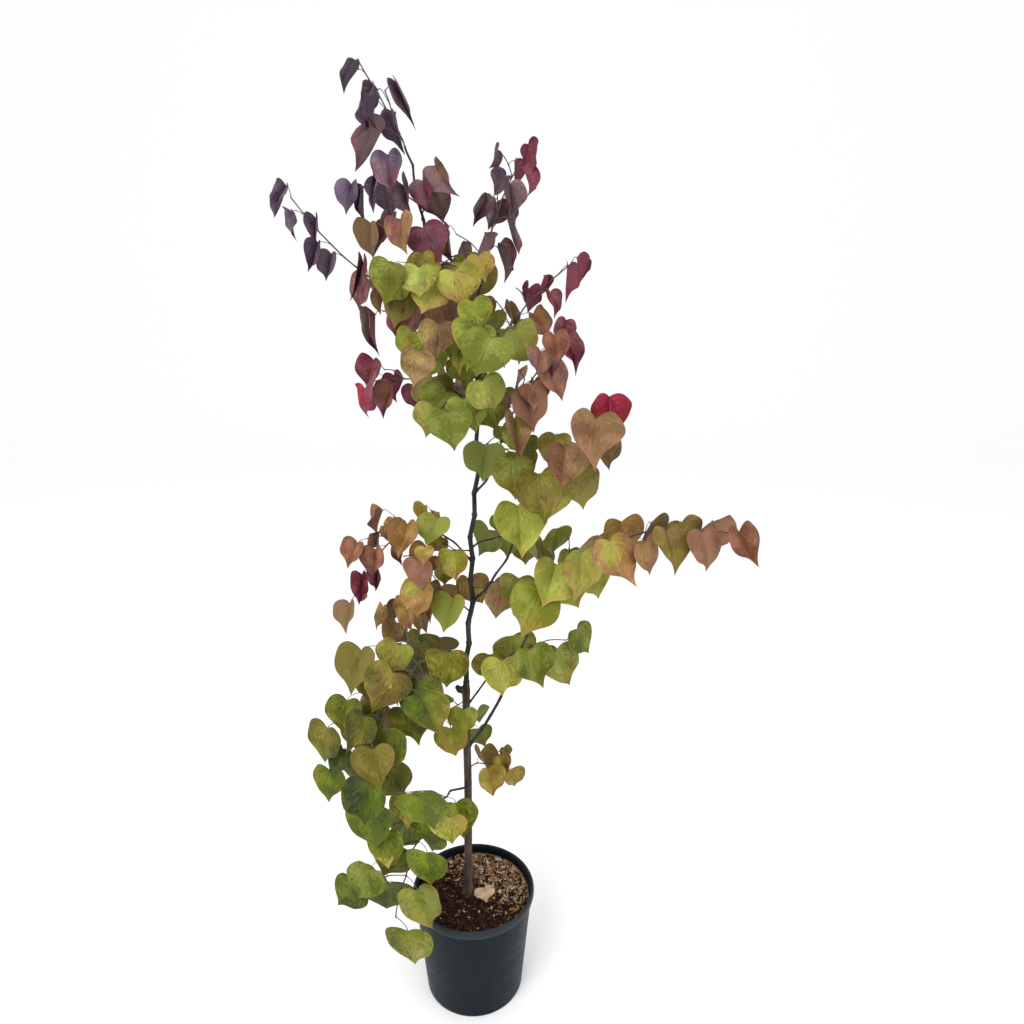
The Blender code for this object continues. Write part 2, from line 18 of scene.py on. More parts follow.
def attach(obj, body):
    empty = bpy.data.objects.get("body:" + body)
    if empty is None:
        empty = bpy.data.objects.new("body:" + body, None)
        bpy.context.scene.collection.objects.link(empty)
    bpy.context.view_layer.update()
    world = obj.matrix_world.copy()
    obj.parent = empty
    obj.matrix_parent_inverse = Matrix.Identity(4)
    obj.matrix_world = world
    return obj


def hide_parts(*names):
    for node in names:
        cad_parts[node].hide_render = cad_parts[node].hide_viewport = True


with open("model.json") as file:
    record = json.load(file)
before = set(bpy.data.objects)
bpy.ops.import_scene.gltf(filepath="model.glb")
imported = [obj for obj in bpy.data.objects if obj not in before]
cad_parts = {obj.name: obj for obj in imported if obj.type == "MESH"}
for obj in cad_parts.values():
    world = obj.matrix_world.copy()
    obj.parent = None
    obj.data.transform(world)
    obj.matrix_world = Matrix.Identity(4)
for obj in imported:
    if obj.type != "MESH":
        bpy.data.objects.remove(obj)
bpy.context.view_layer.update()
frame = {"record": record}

# Room between pieces that are seated on one another.
GAP = 0.0003
UP = Vector((0.0, 0.0, 1.0))
FRONT = Vector((0.0, -1.0, 0.0))

POT_HEIGHT = 0.262
POT_BASE_RADIUS = 0.112
POT_NECK_RADIUS = 0.134
POT_RIM_RADIUS = 0.140
POT_WALL = 0.0032
POT_FLOOR = 0.005
RIM_DEPTH = 0.020
RIM_ROLL = 0.003
# The rim band domes inwards over this width and height.
RIM_ROUND = 0.0042
RIM_DOME = 0.0100
# The soil lies lower at the wall by its fall, and is heaped at the back.
SOIL_TOP = 0.240
SOIL_FALL = 0.006
SOIL_HEAP = 0.009
SOIL_RINGS = 56
SOIL_TURNS = 150

# The young trunk kinks to and fro at its nodes, from the knob where an old stem was cut.
TRUNK_NODE = 0.046
TRUNK_ZIGZAG = 0.0030
TRUNK_TOP = 1.794
KNOB_HEIGHT = 0.762
# Height, distance to the right and distance to the back of the trunk's middle line.
TRUNK_BENDS = (
    (0.240, -0.013, 0.000),
    (0.500, -0.009, 0.004),
    (0.762, -0.009, 0.000),
    (0.880, -0.003, -0.004),
    (0.970, 0.006, 0.000),
    (1.100, 0.007, 0.006),
    (1.250, 0.021, 0.000),
    (1.370, 0.016, -0.006),
    (1.430, -0.001, -0.004),
    (1.490, -0.006, 0.002),
    (1.570, -0.049, 0.006),
    (1.700, -0.072, 0.000),
    (1.794, -0.089, 0.000),
)
# Height and radius of the trunk: root flare, old stem below the snag, young leader above it.
TRUNK_RADII = (
    (0.240, 0.0140),
    (0.263, 0.0104),
    (0.340, 0.0090),
    (0.740, 0.0080),
    (0.762, 0.0092),
    (0.785, 0.0056),
    (1.250, 0.0043),
    (1.570, 0.0031),
    (1.794, 0.0020),
)
# The old stem's stub: points off the trunk's middle, and radii from there to its end.
SNAG = ((-0.013, -0.003, 0.004), (-0.019, -0.004, 0.012))
SNAG_RADII = (0.0085, 0.0075, 0.0045)

# Sides of the solids' limbs, which the leaves keep clear of.
TRUNK_SIDES = 10
BOUGH_SIDES = 6
TWIG_SIDES = 3
# Sides of the limbs that show, and the points that each has from one node to the next.
TRUNK_TURNS = 28
BOUGH_TURNS = 14
SNAG_TURNS = 16
STEM_SIDES = 8
BOUGH_STEPS = 8
SNAG_STEPS = 5
STEM_STEPS = 6
# Height of one ring of the trunk's bark, and how deep the bark goes into the soil.
TRUNK_STEP = 0.0035
BURIED = 0.008
TWIG_RADIUS = 0.0012
# How far a shoot kinks at each node, and the step by which its foot moves off the trunk.
ZIGZAG = 0.0035
SEAT_STEP = 0.0001
# How fast a shoot springs outward, and how soon that fades.
SPRING_RATE = 6.0
SPRING_FADE = 4
# Leaves: stalk length in leaf widths, and the room kept round a blade, as thickness and as width
# against the leaf's own, and round a stalk.
STALK_SHARE = 0.42
BLADE_ROOM = 0.005
BLADE_SPARE = 1.03
STALK_ROOM = 0.0022
# A stalk reaches to the side, along its twig and up; a blade hangs down and faces out and forward.
REACH = (0.75, 0.50, 0.20)
REACH_JITTER = 0.20
HANG_OUT = 0.35
HANG_JITTER = 0.26
FACE_OUT = 0.55
FACE_UP = 0.30
FACE_JITTER = 0.42
# How much the widths of the larger leaves and the folds of all vary.
WIDTH_SPREAD = (0.88, 1.10)
FOLD_SPREAD = (0.4, 1.3)
# Leaves further back than this don't face the front.
FRONT_DEPTH = 0.08
# A leaf that would touch something is turned round its twig and made smaller, so many times.
TRIES = 12
TURN = math.radians(24)
SHRINK = 0.97
# A side twig's reach to the side, along and up, its length in leaf widths, its upward bow, and the
# width of its leaves against the shoot's.
TWIG_REACH = (0.80, 0.50, 0.25)
TWIG_LENGTH = 0.9
TWIG_BOW = 0.10
TWIG_WIDTH = 0.9
# Finer twigs: how often one stands on a side of a node, its leaves' widths against the shoot's, and
# how many nodes at the tip have none.
Growth = namedtuple("Growth", "chance widths bare")
USUAL = Growth(0.50, (0.60, 0.95), 2)
SLENDER = Growth(0.25, (0.65, 0.95), 2)
HANGING = Growth(0.90, (0.75, 1.10), 1)
THICK = Growth(0.90, (0.85, 1.15), 2)
LARGE = Growth(0.60, (1.00, 1.30), 2)
GROWTHS = {
    "top": LARGE, "top_left": SLENDER, "upper_left": SLENDER, "upper_right": SLENDER,
    "right_second": SLENDER, "left_high": SLENDER, "left_low": THICK, "low_left": HANGING,
    "left_mid": HANGING, "right_low": HANGING}
# Right half of a plain leaf's outline, in leaf widths from its notch to its tip.
LEAF_SIDE = ((0.00, 0.00), (0.26, -0.13), (0.52, 0.08), (0.45, 0.44), (0.00, 0.88))

# One shoot: the height where it leaves the trunk, how far it springs outward before it turns up,
# the offsets of its bend and its tip from its base, its radius there, the share of it that is a
# bare bough, the spacing of its leaves, the number of its side twigs, the widths of its first and
# last leaf, their fold in degrees and their tints from base to tip.
Shoot = namedtuple("Shoot", "height spring bend tip foot limb spacing twigs widths fold tints")
SHOOTS = {
    "top": Shoot(
        1.794, 0.0, (-0.036, 0.010, 0.076), (-0.088, 0.000, 0.165), 0.0018, 0.15, 0.027, 1,
        (0.086, 0.058), 30, "bronze purple purple purple"),
    "top_left": Shoot(
        1.730, 0.010, (-0.050, -0.030, 0.025), (-0.100, -0.045, 0.020), 0.0016, 0.0, 0.024, 1,
        (0.078, 0.062), 35, "bronze purple purple"),
    "top_inner": Shoot(
        1.660, 0.0, (-0.030, -0.030, 0.020), (-0.062, -0.060, 0.025), 0.0015, 0.0, 0.026, 0,
        (0.070, 0.072), 30, "bronze crimson umber"),
    "top_right": Shoot(
        1.712, 0.0, (0.008, -0.010, 0.035), (0.008, -0.020, 0.060), 0.0015, 0.0, 0.034, 0,
        (0.068, 0.064), 25, "umber bronze"),
    "upper_left": Shoot(
        1.560, 0.0, (-0.120, -0.040, 0.045), (-0.240, -0.070, 0.172), 0.0022, 0.10, 0.027, 1,
        (0.082, 0.054), 30, "olive rust bronze purple purple"),
    "left_second": Shoot(
        1.520, 0.0, (-0.060, -0.020, 0.035), (-0.125, -0.030, 0.025), 0.0018, 0.0, 0.028, 0,
        (0.075, 0.072), 25, "umber rust crimson bronze"),
    "upper_right": Shoot(
        1.470, 0.030, (0.050, 0.050, 0.210), (0.118, 0.070, 0.350), 0.0026, 0.22, 0.030, 2,
        (0.085, 0.055), 25, "olive bronze bronze purple crimson"),
    "right_second": Shoot(
        1.400, 0.020, (0.082, 0.030, 0.126), (0.190, 0.050, 0.228), 0.0024, 0.25, 0.028, 1,
        (0.078, 0.062), 25, "olive rust crimson crimson"),
    "right_third": Shoot(
        1.195, 0.040, (0.070, -0.050, 0.165), (0.175, -0.080, 0.315), 0.0026, 0.22, 0.032, 1,
        (0.088, 0.064), 20, "lime umber rust rust crimson"),
    "right_inner": Shoot(
        1.290, 0.0, (0.035, -0.040, 0.010), (0.075, -0.080, 0.000), 0.0016, 0.0, 0.028, 0,
        (0.078, 0.082), 12, "lime green"),
    "right_fourth": Shoot(
        0.967, 0.040, (0.115, -0.100, 0.228), (0.250, -0.150, 0.405), 0.0028, 0.30, 0.038, 0,
        (0.104, 0.084), 12, "green lime lime lime lime olive olive umber umber umber umber scarlet"),
    "long_right": Shoot(
        0.619, 0.100, (0.175, -0.060, 0.422), (0.508, -0.090, 0.522), 0.0036, 0.32, 0.034, 1,
        (0.118, 0.080), 15, "green lime lime lime gold rust olive rust rust"),
    "right_low": Shoot(
        0.722, 0.010, (0.078, -0.020, 0.118), (0.160, 0.020, 0.130), 0.0024, 0.20, 0.030, 2,
        (0.092, 0.094), 15, "olive lime green"),
    "left_high": Shoot(
        1.372, 0.0, (-0.085, 0.020, 0.042), (-0.200, 0.030, 0.040), 0.0020, 0.12, 0.030, 0,
        (0.098, 0.068), 20, "olive olive bronze umber crimson scarlet"),
    "left_arch": Shoot(
        1.050, 0.0, (-0.118, -0.020, 0.075), (-0.230, -0.060, -0.048), 0.0022, 0.18, 0.024, 2,
        (0.082, 0.058), 30, "lime gold gold rust rust crimson umber"),
    "left_mid": Shoot(
        0.943, 0.0, (-0.080, 0.030, 0.025), (-0.165, 0.080, -0.080), 0.0020, 0.0, 0.032, 1,
        (0.084, 0.060), 15, "lime gold gold umber"),
    # Its moss leaves, like those of low_left, are darkened partly by painted shade.
    "left_low": Shoot(
        0.845, 0.0, (-0.115, -0.080, -0.005), (-0.214, -0.130, -0.235), 0.0028, 0.15, 0.027, 1,
        (0.094, 0.104), 12, "lime olive moss olive moss moss"),
    "left_inner": Shoot(
        1.075, 0.0, (-0.065, -0.030, 0.010), (-0.130, -0.050, 0.005), 0.0018, 0.0, 0.034, 0,
        (0.074, 0.070), 15, "lime gold rust"),
    "low_left": Shoot(
        0.521, 0.0, (-0.080, -0.110, 0.000), (-0.144, -0.170, -0.190), 0.0026, 0.16, 0.034, 1,
        (0.088, 0.102), 12, "lime moss green moss"),
    "low_front": Shoot(
        0.740, 0.0, (-0.025, -0.050, 0.010), (-0.040, -0.080, 0.000), 0.0015, 0.0, 0.045, 0,
        (0.066, 0.066), 10, "lime"),
    "centre_left": Shoot(
        1.540, 0.0, (-0.035, -0.060, 0.045), (-0.055, -0.110, 0.085), 0.0017, 0.0, 0.026, 1,
        (0.078, 0.074), 15, "gold lime green"),
    "centre_top": Shoot(
        1.592, 0.0, (0.025, -0.040, 0.035), (0.062, -0.110, 0.010), 0.0017, 0.0, 0.026, 1,
        (0.075, 0.074), 15, "gold lime umber"),
    "centre_right": Shoot(
        1.475, 0.0, (0.040, -0.075, 0.040), (0.080, -0.130, 0.022), 0.0017, 0.0, 0.028, 1,
        (0.080, 0.078), 15, "green lime green"),
    "centre_front": Shoot(
        1.450, 0.0, (-0.020, -0.080, 0.040), (-0.045, -0.140, 0.045), 0.0017, 0.0, 0.028, 1,
        (0.078, 0.076), 12, "green lime umber"),
    "centre_low": Shoot(
        1.345, 0.0, (-0.025, -0.060, 0.045), (-0.060, -0.110, 0.030), 0.0017, 0.0, 0.030, 1,
        (0.080, 0.074), 12, "lime green green"),
    "right_small": Shoot(
        0.995, 0.0, (0.045, -0.010, 0.005), (0.092, -0.030, 0.015), 0.0016, 0.0, 0.034, 0,
        (0.045, 0.104), 15, "rust rust green"),
    "right_bottom": Shoot(
        0.567, 0.0, (0.040, 0.000, 0.015), (0.080, 0.000, -0.005), 0.0016, 0.0, 0.024, 0,
        (0.078, 0.068), 30, "gold olive"),
    "back_high": Shoot(
        1.508, 0.0, (-0.025, 0.100, 0.035), (-0.045, 0.190, 0.050), 0.0022, 0.15, 0.032, 1,
        (0.085, 0.070), 15, "green lime olive"),
    "back_upper": Shoot(
        1.330, 0.0, (-0.025, 0.110, 0.045), (-0.055, 0.210, 0.060), 0.0022, 0.15, 0.034, 0,
        (0.085, 0.070), 15, "green olive umber"),
    "back_mid": Shoot(
        1.080, 0.0, (0.065, 0.110, -0.010), (0.130, 0.190, -0.060), 0.0022, 0.32, 0.034, 0,
        (0.088, 0.075), 15, "green lime olive"),
    "back_low": Shoot(
        0.795, 0.0, (-0.090, 0.110, 0.010), (-0.170, 0.190, -0.110), 0.0024, 0.15, 0.036, 1,
        (0.090, 0.085), 12, "olive green green"),
    "back_foot": Shoot(
        0.600, 0.0, (-0.025, 0.090, 0.010), (-0.055, 0.180, -0.020), 0.0022, 0.15, 0.036, 0,
        (0.085, 0.080), 15, "green olive"),
}

# One tint: the darkest and the lightest tone of a leaf's upper side and the tone of its stalk, 0 to
# 255 as seen in daylight, what it turns to at a leaf's margin and tip, how strongly it is mottled,
# in shades, the share of its leaves that turn their backs, and their curl, from flat to crumpled.
Tint = namedtuple("Tint", "dark light stalk blush mottle turned curl")
TINTS = {
    # Moss: the low left shoots' own deep green, darkened partly as painted shade under the crown.
    "moss": Tint((50, 62, 6), (124, 138, 36), (96, 86, 56), "olive", 0.45, 0.03, 0.25),
    "green": Tint((86, 96, 28), (160, 166, 84), (112, 104, 62), "olive", 0.55, 0.03, 0.25),
    "lime": Tint((114, 120, 34), (182, 186, 86), (124, 116, 66), "gold", 0.55, 0.04, 0.30),
    "olive": Tint((92, 82, 24), (156, 142, 68), (114, 92, 66), "umber", 0.75, 0.08, 0.35),
    "gold": Tint((142, 110, 42), (198, 166, 92), (134, 104, 64), "rust", 0.75, 0.10, 0.45),
    "umber": Tint((98, 72, 46), (160, 128, 86), (116, 86, 66), "rust", 0.80, 0.12, 0.50),
    "rust": Tint((114, 70, 54), (178, 126, 98), (128, 88, 74), "bronze", 0.85, 0.16, 0.70),
    "bronze": Tint((84, 60, 64), (146, 116, 114), (112, 80, 78), "crimson", 0.80, 0.16, 0.85),
    "crimson": Tint((96, 26, 46), (152, 78, 98), (118, 66, 76), "bronze", 0.80, 0.10, 0.85),
    "scarlet": Tint((132, 26, 48), (190, 66, 86), (122, 62, 70), "crimson", 0.80, 0.10, 1.00),
    "purple": Tint((60, 48, 66), (114, 96, 114), (98, 76, 88), "bronze", 0.70, 0.12, 1.00),
}
# A leaf has five shades from its darkest to its lightest tone, then two paler, greyer ones on its
# underside.
SHADES = 5
UNDER_SHARES = (0.32, 0.58)
UNDER_GREY = (146, 142, 120)
UNDER_PALE = 0.16
TWIG_TONES = ((74, 62, 56), (86, 70, 62), (66, 54, 54), (98, 82, 68))
BUD_TONE = (62, 42, 40)
SPOT_TONE = (104, 64, 34)

# Blade: angles of its side veins from the tip, rings from notch to margin, half width of a vein,
# thickness in metres.
VEINS = (0.0, 25.0, 50.0, 78.0, 106.0)
RINGS = (0.11, 0.22, 0.34, 0.46, 0.58, 0.69, 0.79, 0.87, 0.935, 0.975, 1.0)
VEIN_HALF = 0.0055
BLADE_THICK = 0.0005
# Its outline: where the lobes end, in degrees from the tip, their reach in leaf widths, and how far
# the drawn-out tip goes beyond them, over so many degrees.
LOBE_END = 131.0
LOBE_TURN = 132.0
BLADE_REACH = 0.635
TIP_REACH = (0.15, 0.30)
TIP_TURN = 8.0
# How much longer a fully curled blade is than a flat one.
LENGTHEN = 0.14

Solid = namedtuple("Solid", "low high tree")
# A leaf: where its stalk leaves the twig, the notch where its blade begins, the way from there to
# its tip, the way it faces, its width and fold, and how far along the shoot it stands.
Leaf = namedtuple("Leaf", "node notch down facing width fold share")

# How much more light than a white sky gives falls on the tree, and the sky seen in a surface.
DAYLIGHT = 1.30
SHEEN = 0.012


def linear(channel):
    """Linear value of one channel of 0 to 255."""
    value = channel / 255
    return value / 12.92 if value <= 0.04045 else ((value + 0.055) / 1.055) ** 2.4


def daylight(tone):
    """Base colour that shows as a tone of 0 to 255 in this light."""
    return tuple(max(0.0015, linear(channel) - SHEEN) / DAYLIGHT for channel in tone)


class Nodes:
    """Short hand for a material's node tree."""

    def __init__(self, name):
        self.made = bpy.data.materials.new(name)
        self.made.use_nodes = True
        self.tree = self.made.node_tree
        self.shader = self.tree.nodes["Principled BSDF"]

    def set(self, socket, value):
        """Plain value for a socket of the shader."""
        self.shader.inputs[socket].default_value = value

    def add(self, kind, values=()):
        """New node of a kind, with values for its sockets."""
        node = self.tree.nodes.new(kind)
        for key, value in dict(values).items():
            node.inputs[key].default_value = value
        return node

    def link(self, source, target):
        self.tree.links.new(source, target)

    def noise(self, scale, detail=4.0, rough=0.55, stretch=None):
        """Noise in the object's own space, stretched where a factor for each axis is given."""
        coords = self.add("ShaderNodeTexCoord").outputs["Object"]
        if stretch:
            mapping = self.add("ShaderNodeMapping", {"Scale": stretch})
            self.link(coords, mapping.inputs["Vector"])
            coords = mapping.outputs["Vector"]
        texture = self.add(
            "ShaderNodeTexNoise", {"Scale": scale, "Detail": detail, "Roughness": rough})
        self.link(coords, texture.inputs["Vector"])
        return texture.outputs["Fac"]

    def spread(self, value, low, high):
        """Map 0.3 to 0.7 of a noise onto a range."""
        ranged = self.add(
            "ShaderNodeMapRange", {"From Min": 0.3, "From Max": 0.7, "To Min": low, "To Max": high})
        self.link(value, ranged.inputs["Value"])
        return ranged.outputs["Result"]

    def bump(self, height, strength, distance):
        """Relief of the surface, with this depth in metres."""
        node = self.add("ShaderNodeBump", {"Strength": strength, "Distance": distance})
        self.link(height, node.inputs["Height"])
        self.link(node.outputs["Normal"], self.shader.inputs["Normal"])

    def ramp(self, value, stops):
        """Colour that runs through stops of (place, colour)."""
        node = self.add("ShaderNodeValToRGB")
        ramp = node.color_ramp
        while len(ramp.elements) < len(stops):
            ramp.elements.new(0.5)
        for element, (place, colour) in zip(ramp.elements, stops):
            element.position = place
            element.color = (*colour, 1.0)
        self.link(value, node.inputs["Fac"])
        return node.outputs["Color"]


def plain_material(name, tone, rough, grain, strength, specular=0.5):
    """One plain colour with fine relief and an uneven gloss."""
    nodes = Nodes(name)
    nodes.set("Base Color", (*daylight(tone), 1.0))
    nodes.set("Specular IOR Level", specular)
    fine = nodes.noise(grain)
    nodes.link(nodes.spread(fine, rough - 0.08, rough + 0.08), nodes.shader.inputs["Roughness"])
    nodes.bump(fine, strength, 0.0006)
    return nodes.made


def bark_material(name, dark, mid, light):
    """Bark mottled along the limb, with fine fissures."""
    nodes = Nodes(name)
    broad = nodes.noise(38.0, 6.0, 0.62, (1.0, 1.0, 0.35))
    colour = nodes.ramp(
        broad, ((0.36, daylight(dark)), (0.50, daylight(mid)), (0.66, daylight(light))))
    nodes.link(colour, nodes.shader.inputs["Base Color"])
    fine = nodes.noise(420.0, 5.0, 0.6, (1.0, 1.0, 0.30))
    nodes.link(nodes.spread(fine, 0.62, 0.86), nodes.shader.inputs["Roughness"])
    nodes.set("Specular IOR Level", 0.35)
    nodes.bump(fine, 0.5, 0.0008)
    return nodes.made


def add_object(name, data):
    """New object in the scene."""
    made = bpy.data.objects.new(name, data)
    bpy.context.scene.collection.objects.link(made)
    return made


class Mesh:
    """Points and faces gathered for one piece, with a material for each face."""

    def __init__(self):
        self.points = []
        self.faces = []
        self.slots = []
        self.count = 0

    def add(self, points, faces, slot):
        """Add a shape; slot is one material key or a list with one key a face."""
        self.points.append(np.asarray(points, float).reshape(-1, 3))
        start = self.count
        self.faces += [tuple(start + i for i in face) for face in faces]
        self.slots += slot if isinstance(slot, list) else [slot] * len(faces)
        self.count += len(points)

    def build(self, name, finishes, sharp):
        """Object of all shapes; edges that turn by more than the sharp angle stay sharp."""
        mesh = bpy.data.meshes.new(name)
        mesh.from_pydata(np.concatenate(self.points).tolist(), [], self.faces)
        keys = sorted(set(self.slots), key=str)
        for key in keys:
            mesh.materials.append(finishes(key))
        order = {key: i for i, key in enumerate(keys)}
        mesh.polygons.foreach_set("material_index", [order[key] for key in self.slots])
        mesh.shade_smooth()
        mesh.set_sharp_from_angle(angle=math.radians(sharp))
        mesh.update()
        return add_object(name, mesh)


def place(piece, slot, *nodes):
    """Put a piece in the place of the solids of some nodes."""
    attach(piece, "root")
    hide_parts(*nodes)


def between(rows, height):
    """Read a table of (height, value) rows with straight runs between them."""
    for (low, first), (high, last) in zip(rows, rows[1:]):
        if height <= high:
            return first + (last - first) * max(0.0, height - low) / (high - low)
    return rows[-1][1]


def eased(rows, column, height):
    """Read a column of the trunk's bends along a smooth curve."""
    last = len(rows) - 1
    index = next((i for i in range(last) if height <= rows[i + 1][0]), last - 1)
    low, high = rows[index], rows[index + 1]
    share = min(1.0, max(0.0, (height - low[0]) / (high[0] - low[0])))

    def slope(i):
        before, after = rows[max(0, i - 1)], rows[min(last, i + 1)]
        return (after[column] - before[column]) / (after[0] - before[0])
    span = high[0] - low[0]
    bow = share * (1 - share) * span
    lift = bow * ((1 - share) * slope(index) - share * slope(index + 1))
    ease = share * share * (3 - 2 * share)
    return low[column] + (high[column] - low[column]) * ease + lift


def wave(turns):
    """Zigzag between -1 and 1 that repeats once a turn."""
    return 4 * abs(turns - math.floor(turns + 0.5)) - 1


def trunk_point(height):
    """Middle of the trunk at a height: its lean and bends, and a small kink at each node."""
    sway = TRUNK_ZIGZAG * min(1.0, max(0.0, (height - KNOB_HEIGHT) / 0.1))
    turns = height / (2 * TRUNK_NODE)
    right = eased(TRUNK_BENDS, 1, height) + sway * wave(turns)
    back = eased(TRUNK_BENDS, 2, height) + 0.5 * sway * wave(turns * 0.5)
    return Vector((right, back, height))


def trunk_radius(height):
    """Plain radius of the trunk at a height."""
    return between(TRUNK_RADII, height)


def ring_quads(start, rings, sides):
    """Faces between rings of points that follow one another."""
    faces = []
    for a in range(start, start + (rings - 1) * sides, sides):
        for k in range(sides):
            n = (k + 1) % sides
            faces.append((a + k, a + n, a + sides + n, a + sides + k))
    return faces


def rim_quads(count):
    """Faces round the edge of a plate whose two skins have this many corners each."""
    return [(i, count + i, count + (i + 1) % count, (i + 1) % count) for i in range(count)]


def tube(line, radii, sides, foot_normal=None):
    """Closed tube along a line, one ring at each point, mitred where the line turns."""
    count = len(line)
    runs = [(line[i + 1] - line[i]).normalized() for i in range(count - 1)]
    normals = [runs[0]] + [(a + b).normalized() for a, b in zip(runs, runs[1:])] + [runs[-1]]
    side = runs[0].cross(Vector((0.31, 0.17, -0.93))).normalized()
    points = []
    for i in range(count):
        run = runs[min(i, count - 2)]
        side = (side - side.dot(run) * run).normalized()
        other = run.cross(side)
        cut = foot_normal if i == 0 and foot_normal else normals[i]
        for k in range(sides):
            turn = math.tau * k / sides
            spoke = (side * math.cos(turn) + other * math.sin(turn)) * radii[i]
            points.append(line[i] + spoke - run * (spoke.dot(cut) / run.dot(cut)))
    faces = [tuple(reversed(range(sides)))] + ring_quads(0, count, sides)
    faces.append(tuple(range((count - 1) * sides, count * sides)))
    return points, faces


def plain_blade(notch, down, facing, width, fold, thickness):
    """Plain plate of a leaf, two flat halves, for testing the room that it needs."""
    across = down.cross(facing)
    lean = math.radians(fold)
    half = facing * (thickness / 2)
    outline = [(x, y, 1) for x, y in LEAF_SIDE] + [(x, y, -1) for x, y in LEAF_SIDE[-2:0:-1]]
    points = []
    for skin in (half, -half):
        for x, y, hand in outline:
            out = across * (hand * math.cos(lean)) + facing * math.sin(lean)
            points.append(notch + (out * x + down * y) * width + skin)
    count = len(outline)
    tip = len(LEAF_SIDE) - 1
    right = list(range(tip + 1))
    left = list(range(tip, count)) + [0]
    faces = [tuple(right), tuple(left)]
    faces += [tuple(count + i for i in reversed(ring)) for ring in (right, left)]
    return points, faces + rim_quads(count)


def solid(shape):
    """Box and search tree of a closed shape."""
    points, faces = shape
    low = [min(point[i] for point in points) for i in range(3)]
    high = [max(point[i] for point in points) for i in range(3)]
    return Solid(low, high, BVHTree.FromPolygons(points, faces))


def touch(one, other):
    """Whether the skins of two solids cross."""
    apart = any(one.low[i] > other.high[i] or other.low[i] > one.high[i] for i in range(3))
    return not apart and bool(one.tree.overlap(other.tree))


def shoot_line(shoot):
    """Points along a shoot, one at each node, on a bow through its bend, kinked side to side."""
    base = trunk_point(shoot.height)
    tip = Vector(shoot.tip)
    swing = 2 * Vector(shoot.bend) - tip / 2
    spring = Vector((tip.x, tip.y, 0.0)).normalized() * shoot.spring * SPRING_RATE

    def along(share):
        bow = 2 * share * (1 - share) * swing + share * share * tip
        return base + bow + spring * share * (1 - share) ** SPRING_FADE
    marks = [along(i / 20) for i in range(21)]
    length = sum((b - a).length for a, b in zip(marks, marks[1:]))
    count = max(3, round(length / shoot.spacing))
    line = []
    for i in range(count + 1):
        share = i / count
        ahead = along(min(1.0, share + 0.01)) - along(max(0.0, share - 0.01))
        kink = ZIGZAG if 0 < i < count else 0.0
        line.append(along(share) + ahead.cross(UP).normalized() * kink * (-1) ** i)
    return line


def split_line(line, share):
    """Cut a line in the middle of one of its runs into a bough and a twig 0.3 mm beyond it."""
    if share <= 0:
        return [], line
    index = max(1, round(share * (len(line) - 1)))
    run = line[index + 1] - line[index]
    middle = line[index] + run / 2
    ahead = run.normalized() * GAP
    return line[:index + 1] + [middle], [middle + ahead] + line[index + 1:]


def radii_along(line, whole, foot):
    """Radius at each point of a piece of a shoot, tapering from its foot to its tip."""
    total = sum((b - a).length for a, b in zip(whole, whole[1:]))
    radii = []
    for point in line:
        share = min(1.0, (point - whole[0]).length / total)
        radii.append(max(TWIG_RADIUS, foot + (TWIG_RADIUS - foot) * share))
    return radii


def seated(line, radii, sides, carrier, skin):
    """Tube whose foot is cut flat along the trunk and moved out until it is just clear of it."""
    away = line[1] - line[0]
    away = Vector((away.x, away.y, 0.0)).normalized()
    run = (line[1] - line[0]).normalized()
    reach = skin * 0.4
    shape = None
    while shape is None or touch(solid(shape), carrier):
        reach += SEAT_STEP
        start = line[0] + run * (reach / run.dot(away))
        shape = tube([start] + line[1:], radii, sides, away)
    return shape


def jitter(dice, size):
    """Small random vector."""
    return Vector([dice.uniform(-size, size) for _ in range(3)])


def course(dice, ahead, hand, turn, shares):
    """Direction off a twig: to one side of it, along it and up, turned round the twig."""
    across = ahead.cross(UP).normalized() * hand
    lift = ahead.cross(across) * hand
    sideways = across * math.cos(turn) + lift * math.sin(turn)
    way = sideways * shares[0] + ahead * shares[1] + UP * shares[2]
    return (way + jitter(dice, REACH_JITTER)).normalized()


def leaf_pose(dice, node, ahead, hand, width, attempt):
    """Where a leaf's notch lies, which way its blade hangs and faces, and its width."""
    turn = TURN * ((attempt + 1) // 2) * (-1) ** attempt
    reach = course(dice, ahead, hand, turn, REACH)
    width *= SHRINK ** attempt
    notch = node + reach * width * STALK_SHARE
    down = (reach * HANG_OUT - UP + jitter(dice, HANG_JITTER)).normalized()
    outward = Vector((notch.x, notch.y, 0.0)).normalized()
    front = max(0.0, 1.0 - max(0.0, notch.y) / FRONT_DEPTH)
    facing = FRONT * front + outward * FACE_OUT + UP * FACE_UP + jitter(dice, FACE_JITTER)
    facing = (facing - facing.dot(down) * down).normalized()
    return notch, down, facing, width


def grow_leaf(dice, node, ahead, hand, width, fold, share, room):
    """Leaf in the first placing that keeps clear of the room's solids, or nothing."""
    for attempt in range(TRIES):
        notch, down, facing, size = leaf_pose(dice, node, ahead, hand, width, attempt)
        near = [node + (notch - node) * 0.25, notch]
        tests = (
            solid(plain_blade(notch, down, facing, size * BLADE_SPARE, fold, BLADE_ROOM)),
            solid(tube(near, [STALK_ROOM] * 2, TWIG_SIDES)))
        if any(touch(test, other) for test in tests for other in room):
            continue
        room.extend(tests)
        return [Leaf(node, notch, down, facing, size, fold, share)]
    return []


